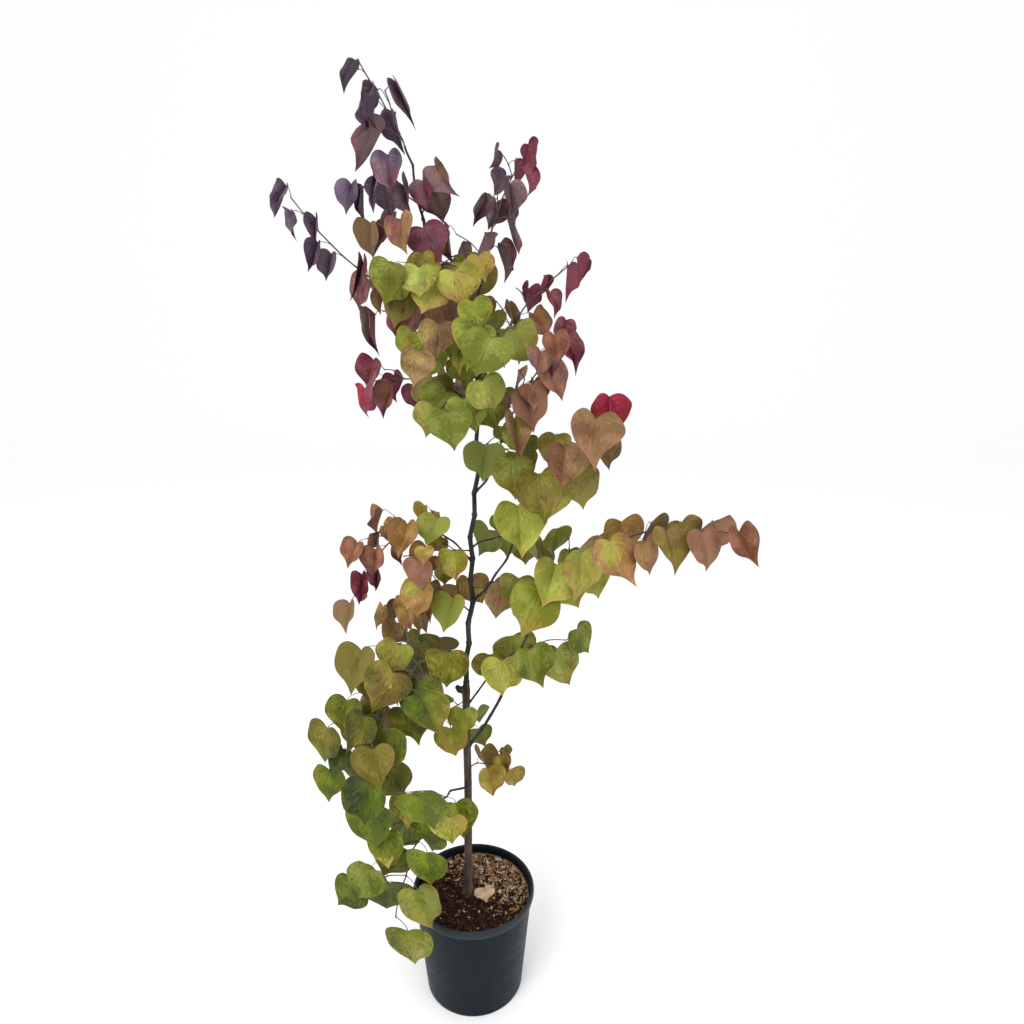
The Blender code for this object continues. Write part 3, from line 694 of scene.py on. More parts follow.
def grow_twig(dice, node, ahead, hand, width, fold, share, room):
    """Short bowed side twig with a leaf at its middle and one at its tip, or nothing."""
    way = course(dice, ahead, hand, 0.0, TWIG_REACH)
    length = width * TWIG_LENGTH
    middle = node + way * length * 0.5 + UP * length * TWIG_BOW
    tip = node + way * length
    near = solid(tube([node.lerp(middle, 0.2), middle, tip], [STALK_ROOM] * 3, TWIG_SIDES))
    if any(touch(near, other) for other in room):
        return [], []
    room.append(near)
    onward = (tip - middle).normalized()
    leaves = grow_leaf(dice, middle, onward, 1, width * TWIG_WIDTH, fold, share, room)
    leaves += grow_leaf(dice, tip, onward, -1, width * TWIG_WIDTH, fold, share, room)
    return [[node, middle, tip]], leaves


def grow_foliage(name, shoot, line, room):
    """Side twigs and leaves of one mass of foliage, in the places that the solids have."""
    dice = random.Random(name)
    twigs, leaves = [], []
    last = len(line) - 1
    first, final = shoot.widths
    stride = max(2, last // (shoot.twigs + 1))
    twig_nodes = list(range(2, last + 1, stride))[:shoot.twigs]
    for i in range(1, last + 1):
        ahead = (line[i] - line[i - 1]).normalized()
        hand = (-1) ** i
        share = i / last
        width = (first + (final - first) * i / last) * dice.uniform(*WIDTH_SPREAD)
        fold = shoot.fold * dice.uniform(*FOLD_SPREAD)
        if i in twig_nodes:
            more, green = grow_twig(dice, line[i], ahead, -hand, width, fold, share, room)
            twigs += more
            leaves += green
        leaves += grow_leaf(dice, line[i], ahead, hand, width, fold, share, room)
    return twigs, leaves


def grow_finer(name, shoot, line, room):
    """Finer side twigs of a mass, with smaller leaves, where its larger ones leave room."""
    dice = random.Random(name + " finer")
    twigs, leaves = [], []
    last = len(line) - 1
    first, final = shoot.widths
    growth = GROWTHS.get(name, USUAL)
    for i in range(1, last + 1 - growth.bare):
        ahead = (line[i] - line[i - 1]).normalized()
        share = i / last
        for hand in (1, -1):
            width = (first + (final - first) * share) * dice.uniform(*growth.widths)
            fold = shoot.fold * dice.uniform(*FOLD_SPREAD)
            if dice.random() < growth.chance:
                more, green = grow_twig(dice, line[i], ahead, hand, width, fold, share, room)
                twigs += more
                leaves += green
    return twigs, leaves


def trunk_line():
    """Points up the trunk's solid: close at the root flare and the snag, one at each node above."""
    heights = [SOIL_TOP + GAP, SOIL_TOP + 0.010, SOIL_TOP + 0.030, SOIL_TOP + 0.100]
    below = KNOB_HEIGHT - 0.020
    runs = math.ceil((below - heights[-1]) / 0.12)
    heights += [heights[-1] + (below - heights[-1]) * (i + 1) / runs for i in range(runs)]
    heights += [KNOB_HEIGHT, KNOB_HEIGHT + 0.023]
    first = math.ceil((KNOB_HEIGHT + 0.030) / TRUNK_NODE)
    nodes = math.ceil((TRUNK_TOP - 0.010) / TRUNK_NODE)
    heights += [TRUNK_NODE * i for i in range(first, nodes)]
    return [trunk_point(height) for height in heights + [TRUNK_TOP]]


def snag_line():
    """Middle line of the stub of an old stem that stands on the trunk's knob."""
    knob = trunk_point(KNOB_HEIGHT)
    return [knob] + [knob + Vector(step) for step in SNAG]


def pot_room():
    """Space of the pot that no leaf may enter."""
    line = [Vector((0.0, 0.0, -0.010)), Vector((0.0, 0.0, POT_HEIGHT + 0.005))]
    return solid(tube(line, [POT_BASE_RADIUS + 0.010, POT_RIM_RADIUS + 0.006], 24))


def grow_tree():
    """Lines of the limbs, and the twigs and leaves of each mass, grown as the solids are."""
    whole = {name: shoot_line(shoot) for name, shoot in SHOOTS.items()}
    leader = split_line(whole["top"], SHOOTS["top"].limb)[0]
    stem = trunk_line() + leader[1:]
    skins = [trunk_radius(point.z) + GAP for point in stem]
    carrier = solid(tube(stem, skins, TRUNK_SIDES, UP))
    room = [carrier, solid(tube(snag_line(), SNAG_RADII, BOUGH_SIDES))]
    lines = {}
    for name, shoot in SHOOTS.items():
        limb, line = split_line(whole[name], shoot.limb)
        skin = trunk_radius(shoot.height)
        radii = radii_along(line, whole[name], shoot.foot)
        if limb and name != "top":
            wood = radii_along(limb, whole[name], shoot.foot)
            room.append(solid(seated(limb, wood, BOUGH_SIDES, carrier, skin)))
        if limb:
            twig = tube(line, radii, TWIG_SIDES)
        else:
            twig = seated(line, radii, TWIG_SIDES, carrier, skin)
        room.append(solid(twig))
        lines[name] = line
    room.append(pot_room())
    grown = {}
    for name, shoot in SHOOTS.items():
        grown[name] = grow_foliage(name, shoot, lines[name], room)
    for name, shoot in SHOOTS.items():
        finer = grow_finer(name, shoot, lines[name], room)
        grown[name] = tuple(known + more for known, more in zip(grown[name], finer))
    return whole, lines, grown


def leaf_columns():
    """Angles of a blade's lines from lobe to lobe, and which way each steps off a vein."""
    spans = list(zip(VEINS, VEINS[1:] + (LOBE_END,), (4, 2, 3, 3, 4)))
    right = []
    for low, high, count in spans:
        right.append((low, 1))
        power = 1.35 if low == 0 else 1.0
        right += [(low + (high - low) * ((i + 1) / (count + 1)) ** power, 0) for i in range(count)]
        right.append((high, 0 if high == LOBE_END else -1))
    left = [(-angle, -step) for angle, step in reversed(right)]
    return left + right


COLUMNS = leaf_columns()
ANGLES = np.radians([angle for angle, step in COLUMNS])
STEPS = np.array([step for angle, step in COLUMNS], float)
VEIN_STRIPS = [
    i for i in range(len(COLUMNS) - 1) if COLUMNS[i][1] == -1 and COLUMNS[i + 1][1] == 1]
RADII = np.array(RINGS)


def leaf_grid(dice):
    """Points of a flat blade over its rings and lines, across and along, in leaf widths."""
    turn = np.abs(ANGLES)
    reach = BLADE_REACH * np.clip(1 - (turn / math.radians(LOBE_TURN)) ** 3, 0, 1) ** 0.75
    reach += dice.uniform(*TIP_REACH) * np.exp(-turn / math.radians(TIP_TURN))
    wobble = sum(
        dice.uniform(-1, 1) * np.cos(k * ANGLES + dice.uniform(0, math.tau)) for k in range(2, 9))
    reach *= 1 + 0.026 * wobble
    reach *= 1 + dice.uniform(-0.08, 0.08) * np.sign(ANGLES) * np.clip(turn, 0, 1)
    ring = RADII[:, None]
    radius = ring * reach[None, :]
    half = np.minimum(VEIN_HALF * (1 - 0.7 * ring) / np.maximum(radius, 1e-4), math.radians(2.2))
    bulge = math.radians(14) * np.sin(math.pi * turn / math.radians(LOBE_TURN)) * np.sign(ANGLES)
    angle = ANGLES[None, :] + bulge[None, :] * (1 - ring) + STEPS[None, :] * half
    across = radius * np.sin(angle)
    along = radius * np.cos(angle)
    return across, along


def vein_share():
    """How far each line of the blade is from the nearest veins, 0 on a vein and 1 midway."""
    stops = [-angle for angle in VEINS[:0:-1]] + list(VEINS)
    stops = [-LOBE_END] + stops + [LOBE_END]
    share = []
    for angle, step in COLUMNS:
        gap = [(low, high) for low, high in zip(stops, stops[1:]) if low <= angle <= high][0]
        share.append(math.sin(math.pi * (angle - gap[0]) / (gap[1] - gap[0])))
    return np.array(share)


VEIN_SHARE = vein_share()


def leaf_relief(dice, across, along, fold, curl):
    """Bend the flat grid: folded halves, curled tip and lobes, wavy margin, sunken veins."""
    ring = RADII[:, None]
    # Each half folds up by an angle of its own and sinks towards the margin.
    rolled = 38 * curl if dice.random() < 0.8 * curl else 0.0
    uneven = 5 + 15 * curl
    right = math.radians(fold + rolled + dice.uniform(-uneven, uneven))
    left = math.radians(fold + rolled + dice.uniform(-uneven, uneven))
    slope = np.where(across >= 0, math.sin(right), math.sin(left))
    width = np.where(across >= 0, math.cos(right), math.cos(left))
    out = np.abs(across)
    rise = slope * (1.45 * out - 1.0 * out * out)
    rise -= (0.10 + 0.45 * curl * dice.random()) * out ** 2
    # Tip and lobes curl up or down, and the margin waves.
    tip = np.clip(along - 0.40, 0, None)
    rise += dice.uniform(-1.1, 0.5) * (0.25 + curl) * tip ** 2
    lobe = np.clip(-along, 0, None)
    rise += dice.uniform(-0.9, 0.9) * (0.3 + curl) * lobe
    turns = dice.choice((3, 4, 5))
    margin = np.cos(turns * ANGLES + dice.uniform(0, math.tau))[None, :] * ring ** 3
    rise = rise + (0.006 + 0.040 * curl) * margin
    pucker = np.cos(2.3 * turns * ANGLES + dice.uniform(0, math.tau))[None, :] * ring ** 2
    rise = rise + 0.014 * curl * pucker
    # The blade is puckered between its veins.
    ripple = np.cos(math.tau * 2.6 * ring + dice.uniform(0, 1))
    rise += VEIN_SHARE[None, :] * (0.012 * np.sin(math.pi * ring) + 0.0035 * ripple * ring)
    # It bends to one side at its tip and twists along its length.
    sway = dice.uniform(-0.35, 0.35) * (0.3 + curl)
    shifted = across * width + sway * tip ** 2
    turned = dice.uniform(-1, 1) * math.radians(48) * curl * along
    bent = shifted * np.cos(turned) - rise * np.sin(turned)
    lifted = shifted * np.sin(turned) + rise * np.cos(turned)
    return bent, along * (1 + LENGTHEN * curl), lifted


def blotches(dice, across, along):
    """Smooth uneven field over the blade, about -1 to 1."""
    field = np.zeros_like(across)
    for _ in range(6):
        pull, slant = dice.uniform(5, 18), dice.uniform(0, math.tau)
        wavy = pull * (across * math.cos(slant) + along * math.sin(slant))
        field += np.cos(wavy + dice.uniform(0, math.tau))
    return field / 2.4


def blend_at(tints, share, dice):
    """Blend of two neighbouring tints, in half steps from the first, at a share of the shoot."""
    steps = 2 * (len(tints) - 1)
    return min(max(share * steps + dice.uniform(-0.7, 0.7), 0.0), steps)


def blend_key(tints, step):
    """Names of the two tints of a half step; the same name twice where it is one tint."""
    step = min(max(step, 0), 2 * (len(tints) - 1))
    return tuple(sorted((tints[step // 2], tints[(step + 1) // 2])))


def own_tint(tints, share):
    """Tint of a leaf at a share of its shoot."""
    return tints[min(int(share * len(tints)), len(tints) - 1)]


def face_middles(grid):
    """Middles of a skin's faces in one direction: the fan at the notch first, then the rings."""
    return np.vstack([(grid[0, :-1] + grid[0, 1:]) / 3, (grid[:-1, :-1] + grid[1:, 1:]) / 2])


def leaf_slots(dice, across, along, tints, share):
    """Tone of each face of the upper and the lower skin."""
    x, y = face_middles(across), face_middles(along)
    ring = np.concatenate([[0.05], (RADII[:-1] + RADII[1:]) / 2])[:, None]
    speckle = np.random.default_rng(dice.getrandbits(32)).uniform(-0.5, 0.5, (3, *x.shape))
    own = own_tint(tints, share)
    # Step of the tints from base to tip that each face has, and whether it blushes.
    drift = 0.5 * blotches(dice, x * 0.45, y * 0.45) + 0.5 * (ring - 0.6)
    blend = np.rint(blend_at(tints, share, dice) + drift + 0.75 * speckle[0]).astype(int)
    blush = dice.uniform(-1.1, 0.4) + 0.8 * y + 0.9 * ring ** 3 + 0.5 * dice.uniform(-1, 1) * x
    blush = np.rint(blush + 0.45 * blotches(dice, x * 0.6, y * 0.6) + 0.8 * speckle[1])
    # Shade: the leaf's own, one half darker as painted shade, mottled, with a pale margin and veins.
    level = (SHADES - 1) / 2 + dice.uniform(-1.25, 1.15)
    # Painted shade of the fold: one half of the blade darker, as if turned from the light.
    level = level + dice.uniform(-0.8, 0.8) * np.tanh(x * 12)
    shade = level + TINTS[own].mottle * blotches(dice, x, y) - 0.5 * (ring - 0.5) + 0.8 * speckle[2]
    rows, lines = x.shape
    shade[rows - 1] += 0.8
    veins = set(VEIN_STRIPS)
    shade[:rows - 4, VEIN_STRIPS] += 0.7
    shade = np.clip(np.rint(shade), 0, SHADES - 1).astype(int)
    upper, lower = [], []
    for r in range(rows):
        for c in range(lines):
            blend_name = blend_key(tints, int(blend[r, c]))
            if blush[r, c] >= 1:
                first = blend_name[0]
                mixed = (first, TINTS[first].blush)
                blend_name = tuple(sorted(mixed)) if blush[r, c] < 2 else (mixed[1], mixed[1])
            upper.append((blend_name, int(shade[r, c])))
            lower.append(((own, own), SHADES + int(c in veins or shade[r, c] > 2)))
    if dice.random() < 0.25:
        for _ in range(dice.randint(1, 3)):
            upper[dice.randrange(lines * 3, lines * (rows - 1))] = ("spot", 0)
    return upper, lower


def leaf_faces(holes=()):
    """Faces of both skins and of the rim between them, without those at holes of (ring, line)."""
    rows, lines = len(RINGS), len(COLUMNS)
    skin = 1 + rows * lines

    def at(r, c, side):
        return side * skin + (0 if r < 0 else 1 + r * lines + c)

    def quad(r, c, side):
        corners = [at(r - 1, c, side), at(r, c, side), at(r, c + 1, side), at(r - 1, c + 1, side)]
        corners = corners[:3] if r == 0 else corners
        return tuple(corners if side == 0 else reversed(corners))
    upper, lower, rim = [], [], []
    for r in range(rows):
        for c in range(lines - 1):
            if (r, c) not in holes:
                upper.append(quad(r, c, 0))
                lower.append(quad(r, c, 1))
    for c in range(lines - 1):
        ends = [(c, 0), (c, 1), (c + 1, 1), (c + 1, 0)]
        rim.append(tuple(at(rows - 1, line, side) for line, side in ends))
    for r in range(rows):
        rim.append((at(r - 1, 0, 0), at(r - 1, 0, 1), at(r, 0, 1), at(r, 0, 0)))
        last = lines - 1
        rim.append((at(r, last, 0), at(r, last, 1), at(r - 1, last, 1), at(r - 1, last, 0)))
    for r, c in holes:
        corners = [(r - 1, c), (r, c), (r, c + 1), (r - 1, c + 1)]
        beside = [(r, c - 1), (r + 1, c), (r, c + 1), (r - 1, c)]
        for i in range(4):
            if beside[i] not in holes:
                a, b = corners[i], corners[(i + 1) % 4]
                rim.append((at(*b, 0), at(*b, 1), at(*a, 1), at(*a, 0)))
    return upper, lower, rim


LEAF_UPPER, LEAF_LOWER, LEAF_RIM = leaf_faces()


def blade_skins(leaf, sheet):
    """Points of both skins of a bent blade, notch first, where the leaf hangs."""
    basis = np.array([leaf.down.cross(leaf.facing), leaf.down, leaf.facing])
    local = np.stack(sheet, axis=-1).reshape(-1, 3) * leaf.width
    middle = np.vstack([[0.0, 0.0, 0.0], local]) @ basis + np.array(leaf.notch)
    skin = np.array(leaf.facing) * (BLADE_THICK / 2)
    return np.vstack([middle + skin, middle - skin])


def add_leaf(mesh, dice, leaf, tints):
    """One blade with two skins in its tones."""
    own = own_tint(tints, leaf.share)
    curl = TINTS[own].curl * dice.uniform(0.6, 1.2)
    across, along = leaf_grid(dice)
    sheet = leaf_relief(dice, across, along, leaf.fold, curl)
    upper, lower = leaf_slots(dice, across, along, tints, leaf.share)
    if dice.random() < TINTS[own].turned:
        upper, lower = lower, upper
    edge = [((own, own), 0)] * len(LEAF_RIM)
    faces = LEAF_UPPER + LEAF_LOWER + LEAF_RIM
    mesh.add(blade_skins(leaf, sheet), faces, upper + lower + edge)


def curve(line, steps):
    """Smooth line through the points, with some steps between them."""
    ends = [line[0] * 2 - line[1]] + list(line) + [line[-1] * 2 - line[-2]]
    smooth = []
    for a, b, c, d in zip(ends, ends[1:], ends[2:], ends[3:]):
        for i in range(steps):
            t = i / steps
            smooth.append(
                0.5 * (2 * b + (c - a) * t + (2 * a - 5 * b + 4 * c - d) * t * t
                       + (3 * b - a - 3 * c + d) * t ** 3))
    return smooth + [line[-1]]


def bezier(a, b, c, d, steps):
    """Points along a curve from a to d that is pulled towards b and c."""
    return [
        a * (1 - t) ** 3 + b * 3 * t * (1 - t) ** 2 + c * 3 * t * t * (1 - t) + d * t ** 3
        for t in (i / steps for i in range(steps + 1))]


def add_stalk(mesh, leaf, tint):
    """Thin bowed stalk, swollen where it leaves the twig and where it joins the blade."""
    span = leaf.width * STALK_SHARE
    way = (leaf.notch - leaf.node).normalized()
    first = leaf.node + way * span * 0.40 + UP * span * 0.12
    end = leaf.notch + leaf.down * 0.0012 - leaf.facing * 0.0003
    second = leaf.notch - leaf.down * span * 0.30 - leaf.facing * span * 0.10
    steps = 10
    line = bezier(leaf.node, first, second, end, steps)
    radii = []
    for i in range(steps + 1):
        t = i / steps
        swell = 0.55 * math.exp(-(t / 0.10) ** 2) + 0.50 * math.exp(-((1 - t) / 0.12) ** 2)
        radii.append(0.00072 * (1 + swell) * (0.8 + leaf.width * 3.0))
    mesh.add(*tube(line, radii, 6), ("stalk", tint))


def add_bud(mesh, base, way, length):
    """Small pointed bud, thickest below its middle."""
    line = [base + way * length * t for t in (0.0, 0.2, 0.5, 0.8, 1.0)]
    radii = [length * share for share in (0.20, 0.30, 0.27, 0.14, 0.03)]
    mesh.add(*tube(line, radii, 6), ("bud", 0))


def node_sizes(radii, steps, count):
    """Radius at each point of a smoothed limb, and how many points off its nearest node is."""
    sizes = []
    for i in range(count):
        index = min(i // steps, len(radii) - 2)
        t = (i - index * steps) / steps
        size = radii[index] + (radii[index + 1] - radii[index]) * t
        sizes.append((size, min(t, 1 - t) * steps))
    return sizes


def rough_tube(line, radii, sides, swell, foot_normal=None):
    """Tube whose points are moved off its middle line, or towards it, by a factor."""
    points, faces = tube(line, radii, sides, foot_normal)
    shaped = []
    for i, point in enumerate(points):
        centre = line[i // sides]
        shaped.append(centre + (point - centre) * swell(point, centre, i % sides))
    return shaped, faces


def add_stem(mesh, line, radii, tone, dice):
    """Twig along its nodes, a little swollen at each."""
    smooth = curve(line, STEM_STEPS)
    sizes = []
    for size, off in node_sizes(radii, STEM_STEPS, len(smooth)):
        sizes.append(size * (0.86 + 0.20 * math.exp(-off * off)) * dice.uniform(0.97, 1.03))
    mesh.add(*tube(smooth, sizes, STEM_SIDES), ("twig", tone))


FINISHES = {}
TONE_NAMES = ("deep", "dark", "mid", "pale", "light", "under", "under_pale")


def leaf_material(tints, tone):
    """Finish of one tone of a tint, or of two tints blended half and half."""
    mixed = [sum(tone_of(tint, tone)[i] for tint in tints) / 2 for i in range(3)]
    label = tints[0] if tints[0] == tints[1] else "_".join(tints)
    rough = 0.66 if tone >= SHADES else 0.54
    return plain_material(f"leaf_{label}_{TONE_NAMES[tone]}", mixed, rough, 620.0, 0.25, 0.22)


def tone_of(tint, tone):
    """One shade between a tint's darkest and lightest, or one of its underside."""
    under = tone >= SHADES
    share = UNDER_SHARES[tone - SHADES] if under else tone / (SHADES - 1)
    plain = [low + (high - low) * share for low, high in zip(TINTS[tint].dark, TINTS[tint].light)]
    if not under:
        return plain
    return [value + (grey - value) * UNDER_PALE for value, grey in zip(plain, UNDER_GREY)]


def finish_of(key):
    """Material of a tone, made when it is first used."""
    if key in FINISHES:
        return FINISHES[key]
    kind, tone = key
    if isinstance(kind, tuple):
        made = leaf_material(kind, tone)
    elif kind == "stalk":
        made = plain_material(f"stalk_{tone}", TINTS[tone].stalk, 0.5, 500.0, 0.2)
    elif kind == "twig":
        made = plain_material(f"twig_bark_{tone}", TWIG_TONES[tone], 0.62, 480.0, 0.5)
    else:
        tones = {"bud": BUD_TONE, "spot": SPOT_TONE}
        made = plain_material(kind, tones[kind], 0.6, 500.0, 0.3)
    FINISHES[key] = made
    return made


def slot_of(node):
    """Material slot of a node in the record."""
    rows = frame["record"]["subparts"]
    return next(row["material_slot"] for row in rows if row["node"] == node)


def make_mass(name, shoot, whole, line, grown):
    """Leaves of one mass as one piece, and its stem, side twigs, stalks and buds as another."""
    twigs, leaves = grown
    dice = random.Random(name + " looks")
    blades, wood = Mesh(), Mesh()
    radii = radii_along(line, whole, shoot.foot)
    start = list(line)
    if shoot.limb <= 0:
        start[0] = line[0].lerp(line[1], 0.10)
    add_stem(wood, start, radii, dice.randrange(len(TWIG_TONES)), dice)
    for twig in twigs:
        add_stem(wood, twig, [TWIG_RADIUS] * 3, dice.randrange(len(TWIG_TONES)), dice)
    for i, node in enumerate(line[1:], 1):
        ahead = (node - line[i - 1]).normalized()
        side = ahead.cross(UP).normalized() * (-1) ** i
        add_bud(wood, node - side * 0.0006, (side + ahead).normalized(), 0.0040)
    tints = shoot.tints.split()
    for leaf in leaves:
        add_stalk(wood, leaf, own_tint(tints, leaf.share))
        add_leaf(blades, dice, leaf, tints)
    node = "foliage_" + name
    place(blades.build("leaves_" + name, finish_of, 50), slot_of(node), node)
    place(wood.build("twigs_" + name, finish_of, 50), slot_of(node), node)


def trunk_profile(height, turn):
    """Radius of the trunk in one direction: flare, fissures, lenticels and swollen nodes."""
    base = trunk_radius(height)
    spoke = Vector((math.cos(turn), math.sin(turn), 0.0))
    ridge = noise.noise(Vector((spoke.x * 2.2, spoke.y * 2.2, height * 16)))
    fine = noise.noise(Vector((spoke.x * 5.5, spoke.y * 5.5, height * 120)))
    lump = noise.noise(Vector((spoke.x * 1.0, spoke.y * 1.0, height * 42 + 7)))
    relief = 0.045 * ridge + 0.035 * fine + 0.035 * lump
    flare = max(0.0, 1 - (height - SOIL_TOP) / 0.045)
    relief += 0.16 * flare * flare * math.cos(4 * turn + 0.8)
    if height > KNOB_HEIGHT + 0.02:
        node = (height / TRUNK_NODE + 0.5) % 1 - 0.5
        relief += 0.17 * math.exp(-(node * TRUNK_NODE / 0.0045) ** 2)
    return base * (1 + relief)


def make_trunk(whole):
    """Bark of the trunk and the leader, rooted a little below the soil's surface, with its snag."""
    mesh = Mesh()
    leader = split_line(whole["top"], SHOOTS["top"].limb)[0]
    count = int((TRUNK_TOP - SOIL_TOP) / TRUNK_STEP)
    heights = [SOIL_TOP + (TRUNK_TOP - SOIL_TOP) * i / count for i in range(count + 1)]
    line = [trunk_point(height) for height in heights]
    line = [line[0] - UP * BURIED] + line + curve(leader, 4)[1:]

    def swell(point, centre, side):
        return trunk_profile(centre.z, math.tau * side / TRUNK_TURNS)
    points, faces = rough_tube(line, [1.0] * len(line), TRUNK_TURNS, swell, UP)
    ages = ["bark" if points[face[0]].z < KNOB_HEIGHT + 0.02 else "bark_young" for face in faces]
    mesh.add(points, faces, ages)
    add_snag(mesh)
    add_trunk_buds(mesh)
    piece = mesh.build("trunk_bark", lambda key: BARK[key], 60)
    place(piece, "bark", "trunk")


def add_snag(mesh):
    """Healed stub of an old stem: a thick short limb with a weathered, rounded end."""
    line = curve(snag_line(), SNAG_STEPS)
    sizes = [size for size, off in node_sizes(SNAG_RADII, SNAG_STEPS, len(line))]
    line.append(line[-1] + (line[-1] - line[-2]).normalized() * 0.0015)
    sizes.append(sizes[-1] * 0.55)

    def swell(point, centre, side):
        return 1 + 0.16 * noise.noise(point * 260)
    mesh.add(*rough_tube(line, sizes, SNAG_TURNS, swell), "bark")


def add_trunk_buds(mesh):
    """Dormant buds at the nodes of the leader, on alternate sides."""
    first = math.ceil((KNOB_HEIGHT + 0.06) / TRUNK_NODE)
    last = int((TRUNK_TOP - 0.02) / TRUNK_NODE)
    for i in range(first, last):
        height = TRUNK_NODE * i
        side = Vector((-1.0 if i % 2 else 1.0, -0.35, 0.0)).normalized()
        base = trunk_point(height) + side * trunk_radius(height) * 0.85
        middle = base + (side * 0.7 + UP).normalized() * 0.0026
        tip = base + (side * 0.5 + UP).normalized() * 0.0052
        mesh.add(*tube([base, middle, tip], [0.0019, 0.0016, 0.0004], 8), "bark_young")


BARK = {
    "bark": bark_material("bark", (48, 42, 37), (78, 67, 58), (112, 98, 84)),
    "bark_young": bark_material("bark_young", (44, 40, 40), (60, 55, 53), (84, 76, 71)),
}


def add_bough(mesh, shoot, whole):
    """One tapering limb from inside the trunk's bark to where its mass begins."""
    limb, rest = split_line(whole, shoot.limb)
    radii = radii_along(limb, whole, shoot.foot)
    line = curve([limb[0].lerp(limb[1], 0.04)] + limb[1:-1] + [rest[0]], BOUGH_STEPS)
    skin = trunk_radius(shoot.height)
    sizes = []
    for point, (size, off) in zip(line, node_sizes(radii, BOUGH_STEPS, len(line))):
        collar = 0.45 * math.exp(-max(0.0, (point - whole[0]).length - skin) / 0.006)
        sizes.append(size * (0.94 + 0.16 * math.exp(-off * off / 2) + collar))

    def swell(point, centre, side):
        return 1 + 0.09 * noise.noise(Vector((point.x, point.y, point.z * 0.5)) * 330)
    mesh.add(*rough_tube(line, sizes, BOUGH_TURNS, swell), "bark_young")


def make_boughs(whole):
    """Bark of all the boughs as one piece."""
    mesh = Mesh()
    names = [name for name, shoot in SHOOTS.items() if shoot.limb and name != "top"]
    for name in names:
        add_bough(mesh, SHOOTS[name], whole[name])
    piece = mesh.build("boughs_bark", lambda key: BARK[key], 60)
    place(piece, "bark", *["bough_" + name for name in names])


POT_TURNS = 144
# The rim's lighter tone is a painted highlight on its rolled band, not a colour of the plastic.
POT_TONES = {"pot_wall": (34, 40, 46), "pot_rim": (56, 62, 66)}


def circle(radius, turns):
    """Places round the upright axis, as (right, back)."""
    spokes = [math.tau * k / turns for k in range(turns)]
    return [(radius * math.cos(turn), radius * math.sin(turn)) for turn in spokes]


def turned_mesh(profile, turns):
    """Points and faces of a closed profile of (radius, height) from axis to axis, turned."""
    points = [(0.0, 0.0, profile[0][1])]
    rings = profile[1:-1]
    for radius, height in rings:
        points += [(x, y, height) for x, y in circle(radius, turns)]
    points.append((0.0, 0.0, profile[-1][1]))
    faces = [(0, 1 + (k + 1) % turns, 1 + k) for k in range(turns)]
    faces += ring_quads(1, len(rings), turns)
    last = 1 + (len(rings) - 1) * turns
    top = len(points) - 1
    faces += [(last + k, last + (k + 1) % turns, top) for k in range(turns)]
    return points, faces


def arc(right, height, across, up, start, end, steps):
    """Part of an ellipse with these half sizes in a profile, from one angle to another in degrees."""
    turns = [math.radians(start + (end - start) * step / steps) for step in range(steps + 1)]
    return [(right + across * math.cos(turn), height + up * math.sin(turn)) for turn in turns]


def inner_radius(height):
    """Inside of the pot's wall at a height."""
    share = (height - POT_FLOOR) / (POT_HEIGHT - RIM_ROLL - POT_FLOOR)
    return POT_BASE_RADIUS - POT_WALL + (POT_NECK_RADIUS - POT_BASE_RADIUS) * share


def pot_material(name, tone):
    """Satin plastic with faint scuffs round the wall and a fine grain."""
    nodes = Nodes(name)
    nodes.set("Base Color", (*daylight(tone), 1.0))
    nodes.set("Specular IOR Level", 0.12)
    scuffs = nodes.noise(26.0, 6.0, 0.65, (1.0, 1.0, 2.5))
    nodes.link(nodes.spread(scuffs, 0.38, 0.56), nodes.shader.inputs["Roughness"])
    nodes.bump(nodes.noise(900.0, 2.0), 0.18, 0.0003)
    return nodes.made


def make_pot():
    """Thin tapering tub with a stepped foot and a domed rim band that rolls inwards."""
    band_foot = POT_HEIGHT - RIM_DEPTH

    def wall(height):
        share = (height - 0.004) / (band_foot - 0.004)
        return POT_BASE_RADIUS + (POT_NECK_RADIUS - POT_BASE_RADIUS) * share
    profile = [(0.0, 0.0035), (0.040, 0.0035), (0.042, 0.0030), (POT_BASE_RADIUS - 0.016, 0.0030)]
    profile += [(POT_BASE_RADIUS - 0.0145, 0.0005), (POT_BASE_RADIUS - 0.0135, 0.0)]
    profile += arc(POT_BASE_RADIUS - 0.004, 0.004, 0.004, 0.004, -90, -8, 6)
    profile += [(wall(h), h) for h in (0.012, 0.03, 0.06, 0.10, 0.14, 0.18, 0.215, 0.236)]
    profile += [(wall(band_foot - 0.003), band_foot - 0.003)]
    profile += arc(POT_RIM_RADIUS - 0.0028, band_foot + 0.0015, 0.0015, 0.0015, -90, 0, 4)
    profile += [(POT_RIM_RADIUS - 0.0004, band_foot + 0.006), (POT_RIM_RADIUS, band_foot + 0.010)]
    dome = (POT_RIM_RADIUS - RIM_ROUND, POT_HEIGHT - RIM_DOME)
    profile += arc(*dome, RIM_ROUND, RIM_DOME, 10, 90, 8)
    roll = (POT_RIM_RADIUS - RIM_ROLL, POT_HEIGHT - RIM_ROLL)
    profile += arc(*roll, RIM_ROLL, RIM_ROLL, 120, 180, 4)
    inner_top = POT_NECK_RADIUS - POT_WALL
    profile += [(inner_top + 0.0006, POT_HEIGHT - 0.0055), (inner_radius(0.248), 0.248)]
    profile += [(inner_radius(h), h) for h in (0.20, 0.12, 0.04)]
    profile += [(POT_BASE_RADIUS - POT_WALL - 0.002, POT_FLOOR), (0.0, POT_FLOOR)]
    mesh = Mesh()
    points, faces = turned_mesh(profile, POT_TURNS)
    # Faces of the rim band and its roll take the lighter tone, a painted highlight.
    band = [all(
        points[i][2] > band_foot - 0.0005 and math.hypot(*points[i][:2]) > POT_NECK_RADIUS - 0.001
        for i in face) for face in faces]
    mesh.add(points, faces, ["pot_rim" if highlit else "pot_wall" for highlit in band])
    place(mesh.build("pot_shell", lambda key: pot_material(key, POT_TONES[key]), 35), "pot", "pot")


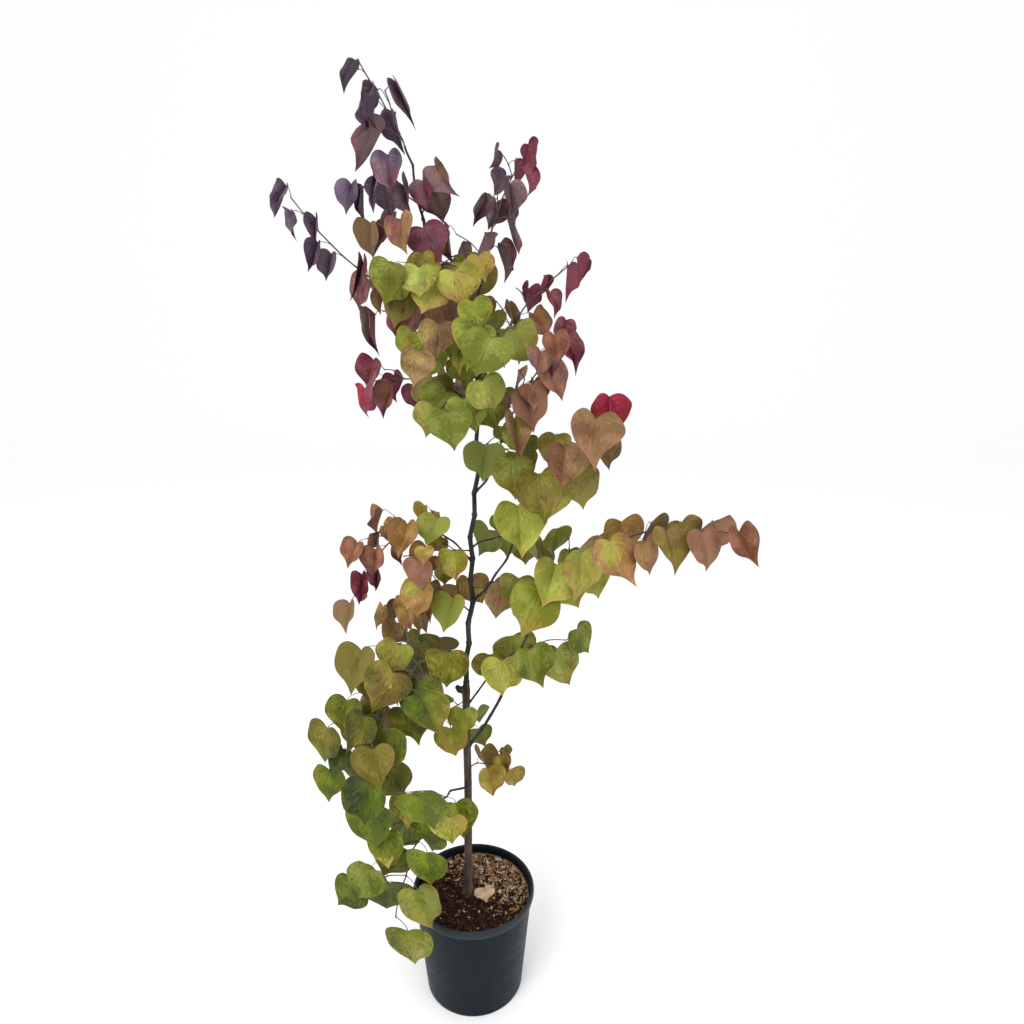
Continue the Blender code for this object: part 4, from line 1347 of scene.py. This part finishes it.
SOIL_TONES = {
    "dark": (40, 28, 24), "brown": (58, 40, 32), "red": (84, 52, 40), "tan": (140, 106, 76),
    "gold": (178, 138, 94), "pale": (212, 190, 162), "black": (26, 20, 20)}


def soil_height(x, y):
    """Surface of the potting soil: clods and crumbs, heaped at the back and lower at the wall."""
    far = math.hypot(x, y) / inner_radius(SOIL_TOP)
    clod = noise.noise(Vector((x * 42, y * 42, 3.1))) * 0.0022
    crumb = noise.noise(Vector((x * 170, y * 170, 8.0))) * 0.0016
    grain = noise.noise(Vector((x * 420, y * 420, 1.0))) * 0.0008
    heap = SOIL_HEAP * min(1.0, max(0.0, (y + 0.03) / 0.12))
    level = SOIL_TOP + heap - SOIL_FALL * far ** 4
    return level + (clod + crumb + grain) * min(1.0, 8 * (1.02 - far))


def make_soil():
    """Crumbly top of the filled pot, with bark chips, fibres and grit lying on it."""
    rings, turns = SOIL_RINGS, SOIL_TURNS
    limit = inner_radius(SOIL_TOP - SOIL_FALL) - 2 * GAP
    dice = random.Random("soil")
    points = [(0.0, 0.0, soil_height(0.0, 0.0))]
    for r in range(1, rings + 1):
        ring = circle(limit * (r / rings) ** 0.8, turns)
        points += [(x, y, soil_height(x, y)) for x, y in ring]
    foot = POT_FLOOR + GAP
    points += [(x, y, foot) for x, y in circle(inner_radius(foot) - 0.0025, turns)]
    faces = [(0, 1 + k, 1 + (k + 1) % turns) for k in range(turns)]
    faces += [(a, d, c, b) for a, b, c, d in ring_quads(1, rings + 1, turns)]
    faces.append(tuple(reversed(range(1 + rings * turns, 1 + (rings + 1) * turns))))
    tones = []
    for face in faces:
        x, y = points[face[0]][:2]
        patch = noise.noise(Vector((x * 60, y * 60, 5.0))) + dice.uniform(-0.35, 0.35)
        dry = 4.0 * x + 5.0 * y + patch
        damp = "dark" if patch < 0.05 else "brown" if patch < 0.42 else "red"
        tones.append("tan" if dry > 0.40 else damp)
    mesh = Mesh()
    mesh.add(points, faces, tones)
    add_chips(mesh, dice, limit)
    add_fibres(mesh, dice, limit)
    finishes = {
        key: plain_material("soil_" + key, tone, 0.9, 700.0, 0.8, 0.2)
        for key, tone in SOIL_TONES.items()}
    place(mesh.build("soil_bed", finishes.get, 40), "soil", "soil")


def on_soil(dice, limit):
    """Random place on the soil, as even over its area."""
    turn, far = dice.uniform(0, math.tau), limit * math.sqrt(dice.random()) * 0.97
    return far * math.cos(turn), far * math.sin(turn)


CHIPS = 2600
FIBRES = 900
# How often chips of each tone lie where the soil is dry and where it is damp.
DRY_CHIPS = {"tan": 3, "gold": 4, "pale": 5, "dark": 3, "black": 3}
DAMP_CHIPS = {"tan": 0.7, "red": 4, "brown": 5, "dark": 5, "pale": 0.25}
FIBRE_TONES = {"red": 6, "brown": 4, "tan": 1.3, "gold": 0.4}


def pick(dice, shares):
    """Random key of a table, each as often as its share says."""
    return dice.choices(tuple(shares), tuple(shares.values()))[0]


def add_chips(mesh, dice, limit):
    """Flat broken chips of wood and bark, pale ones thickest on the right and at the back."""
    corners = [(-1, -0.6), (-0.2, -1), (1, -0.5), (0.8, 0.7), (-0.3, 1), (-1, 0.4)]
    for _ in range(CHIPS):
        x, y = on_soil(dice, limit)
        dry = 4.0 * x + 5.0 * y + dice.uniform(-0.25, 0.25)
        tone = pick(dice, DRY_CHIPS if dry > 0.10 else DAMP_CHIPS)
        size = dice.uniform(0.0008, 0.0032)
        length = size * dice.uniform(1.0, 2.4)
        spin, tip = dice.uniform(0, math.tau), Vector((dice.gauss(0, 0.35), dice.gauss(0, 0.35), 1))
        normal = tip.normalized()
        along = Vector((math.cos(spin), math.sin(spin), 0.0))
        along = (along - along.dot(normal) * normal).normalized()
        side = normal.cross(along)
        thick = size * dice.uniform(0.15, 0.40)
        base = Vector((x, y, soil_height(x, y) + thick * 0.3))
        shape = []
        for skin in (thick / 2, -thick / 2):
            for u, v in corners:
                u, v = u * dice.uniform(0.7, 1.1), v * dice.uniform(0.7, 1.1)
                shape.append(base + along * u * length + side * v * size + normal * skin)
        if max(math.hypot(p.x, p.y) for p in shape) > limit:
            continue
        count = len(corners)
        faces = [tuple(range(count)), tuple(reversed(range(count, 2 * count)))]
        mesh.add(shape, faces + rim_quads(count), tone)


def add_fibres(mesh, dice, limit):
    """Thin crooked fibres of peat and coir, reddish brown, thickest in front."""
    for _ in range(FIBRES):
        x, y = on_soil(dice, limit)
        if dice.random() < 0.5 + 3.0 * x + 3.0 * y:
            continue
        length = dice.uniform(0.006, 0.022)
        heading, bend = dice.uniform(0, math.tau), dice.uniform(-1.6, 1.6)
        line, lift = [], dice.uniform(0.0002, 0.0022)
        for i in range(6):
            t = i / 5
            heading += bend / 5
            x += math.cos(heading) * length / 5
            y += math.sin(heading) * length / 5
            rise = lift * math.sin(math.pi * t) + 0.0003
            line.append(Vector((x, y, soil_height(x, y) + rise)))
        if max(math.hypot(p.x, p.y) for p in line) > limit * 0.985:
            continue
        radius = dice.uniform(0.00012, 0.00038)
        tone = pick(dice, FIBRE_TONES)
        mesh.add(*tube(line, [radius] * 5 + [radius * 0.4], 4), tone)


FALLEN_WIDTH = 0.047
FALLEN_NOTCH = Vector((0.024, 0.002, SOIL_TOP + 0.0110))
FALLEN_DOWN = Vector((0.18, -1.0, -0.16)).normalized()
FALLEN_FOLD = 4.0
FALLEN_TONES = {"pale": (216, 192, 150), "tan": (204, 174, 140), "rose": (196, 158, 138)}
# Where its hole is, and its length against that of a fresh leaf.
FALLEN_HOLE_RINGS = (6, 7)
FALLEN_HOLE_LINES = (10, 11, 12)
FALLEN_SHRINK = 0.90


def make_fallen_leaf():
    """Bleached old leaf lying on the soil, with a hole near its margin."""
    dice = random.Random("fallen")
    facing = (UP - UP.dot(FALLEN_DOWN) * FALLEN_DOWN).normalized()
    leaf = Leaf(
        FALLEN_NOTCH, FALLEN_NOTCH, FALLEN_DOWN, facing, FALLEN_WIDTH, FALLEN_FOLD, 0.5)
    across, along = leaf_grid(dice)
    along = along * FALLEN_SHRINK
    sheet = leaf_relief(dice, across, along, leaf.fold, 0.30)
    holes = [(r, c) for r in FALLEN_HOLE_RINGS for c in FALLEN_HOLE_LINES]
    upper, lower, rim = leaf_faces(holes)
    shade = blotches(dice, across, along)
    slots = []
    for r in range(len(RINGS)):
        for c in range(len(COLUMNS) - 1):
            value = shade[r, c]
            if (r, c) not in holes:
                slots.append("pale" if value > 0.1 else "tan" if value > -0.6 else "rose")
    mesh = Mesh()
    mesh.add(blade_skins(leaf, sheet), upper + lower + rim, slots * 2 + ["tan"] * len(rim))
    finishes = {
        key: plain_material("dry_" + key, tone, 0.7, 500.0, 0.4)
        for key, tone in FALLEN_TONES.items()}
    place(mesh.build("fallen_leaf", finishes.get, 50), "leaf_rust", "soil")


# The floor's reach to the front, to the back and to each side, and the sweep up to the wall's top.
FLOOR_REACH = 8.0
FLOOR_DEPTH = 6.0
FLOOR_SIDE = 12.0
SWEEP = 3.0
WALL_TOP = 9.0
# Middle of the crown, which the lights are turned to.
LIT = Vector((0.0, 0.0, 1.0))


def make_floor():
    """Pale floor that rises behind the plant in a smooth sweep."""
    nodes = Nodes("floor")
    nodes.set("Base Color", (0.97, 0.97, 0.97, 1.0))
    nodes.set("Roughness", 0.9)
    nodes.set("Specular IOR Level", 0.1)
    mesh = bpy.data.meshes.new("floor")
    profile = [(-FLOOR_REACH, 0.0), (FLOOR_DEPTH, 0.0)]
    profile += [(FLOOR_DEPTH + SWEEP * math.sin(a), SWEEP - SWEEP * math.cos(a))
                for a in (math.radians(7.5 * i) for i in range(1, 13))]
    profile += [(FLOOR_DEPTH + SWEEP, WALL_TOP)]
    points = [(x, y, z) for y, z in profile for x in (-FLOOR_SIDE, FLOOR_SIDE)]
    faces = [(2 * i, 2 * i + 1, 2 * i + 3, 2 * i + 2) for i in range(len(profile) - 1)]
    mesh.from_pydata(points, [], faces)
    mesh.materials.append(nodes.made)
    mesh.shade_smooth()
    floor = add_object("floor", mesh)


def add_light(name, stand, size, power, colour):
    """Round soft light at a place, turned to the crown."""
    data = bpy.data.lights.new(name, "AREA")
    data.shape = "DISK"
    data.size = size
    data.energy = power
    data.color = colour
    lamp = add_object(name, data)
    lamp.location = stand
    lamp.rotation_euler = (LIT - Vector(stand)).to_track_quat("-Z", "Y").to_euler()


def make_lights():
    """Soft daylight all round, a broad light from the upper left and a weak one from the right."""
    world = bpy.data.worlds.new("daylight")
    world.use_nodes = True
    background = world.node_tree.nodes["Background"]
    background.inputs["Color"].default_value = (0.97, 0.98, 1.0, 1.0)
    background.inputs["Strength"].default_value = 1.0
    bpy.context.scene.world = world
    add_light("key", (-1.4, -2.6, 3.6), 2.4, 90, (1.0, 0.985, 0.96))
    add_light("fill", (2.6, -1.8, 1.6), 2.2, 20, (0.96, 0.98, 1.0))
    bpy.context.scene.view_settings.view_transform = "Standard"


# Focal length and side of the picture in pixels, and the sensor's side in millimetres.
FOCAL = 760.0
IMAGE_SIDE = 1024.0
SENSOR = 36.0
CAMERA_AT = (0.089, -1.457, 1.57)
LOOK_DOWN = 15.8


def make_camera():
    """At a standing person's eyes, close to the tree and looking a little down."""
    data = bpy.data.cameras.new("camera")
    data.sensor_width = SENSOR
    data.lens = FOCAL / IMAGE_SIDE * SENSOR
    data.clip_start = 0.01
    data.clip_end = 100
    camera = add_object("camera", data)
    camera.location = CAMERA_AT
    camera.rotation_euler = (math.radians(90 - LOOK_DOWN), 0.0, 0.0)
    bpy.context.scene.camera = camera


make_camera()
make_lights()
make_floor()
whole, lines, grown = grow_tree()
make_trunk(whole)
make_boughs(whole)
for name, shoot in SHOOTS.items():
    make_mass(name, shoot, whole[name], lines[name], grown[name])
make_pot()
make_soil()
make_fallen_leaf()

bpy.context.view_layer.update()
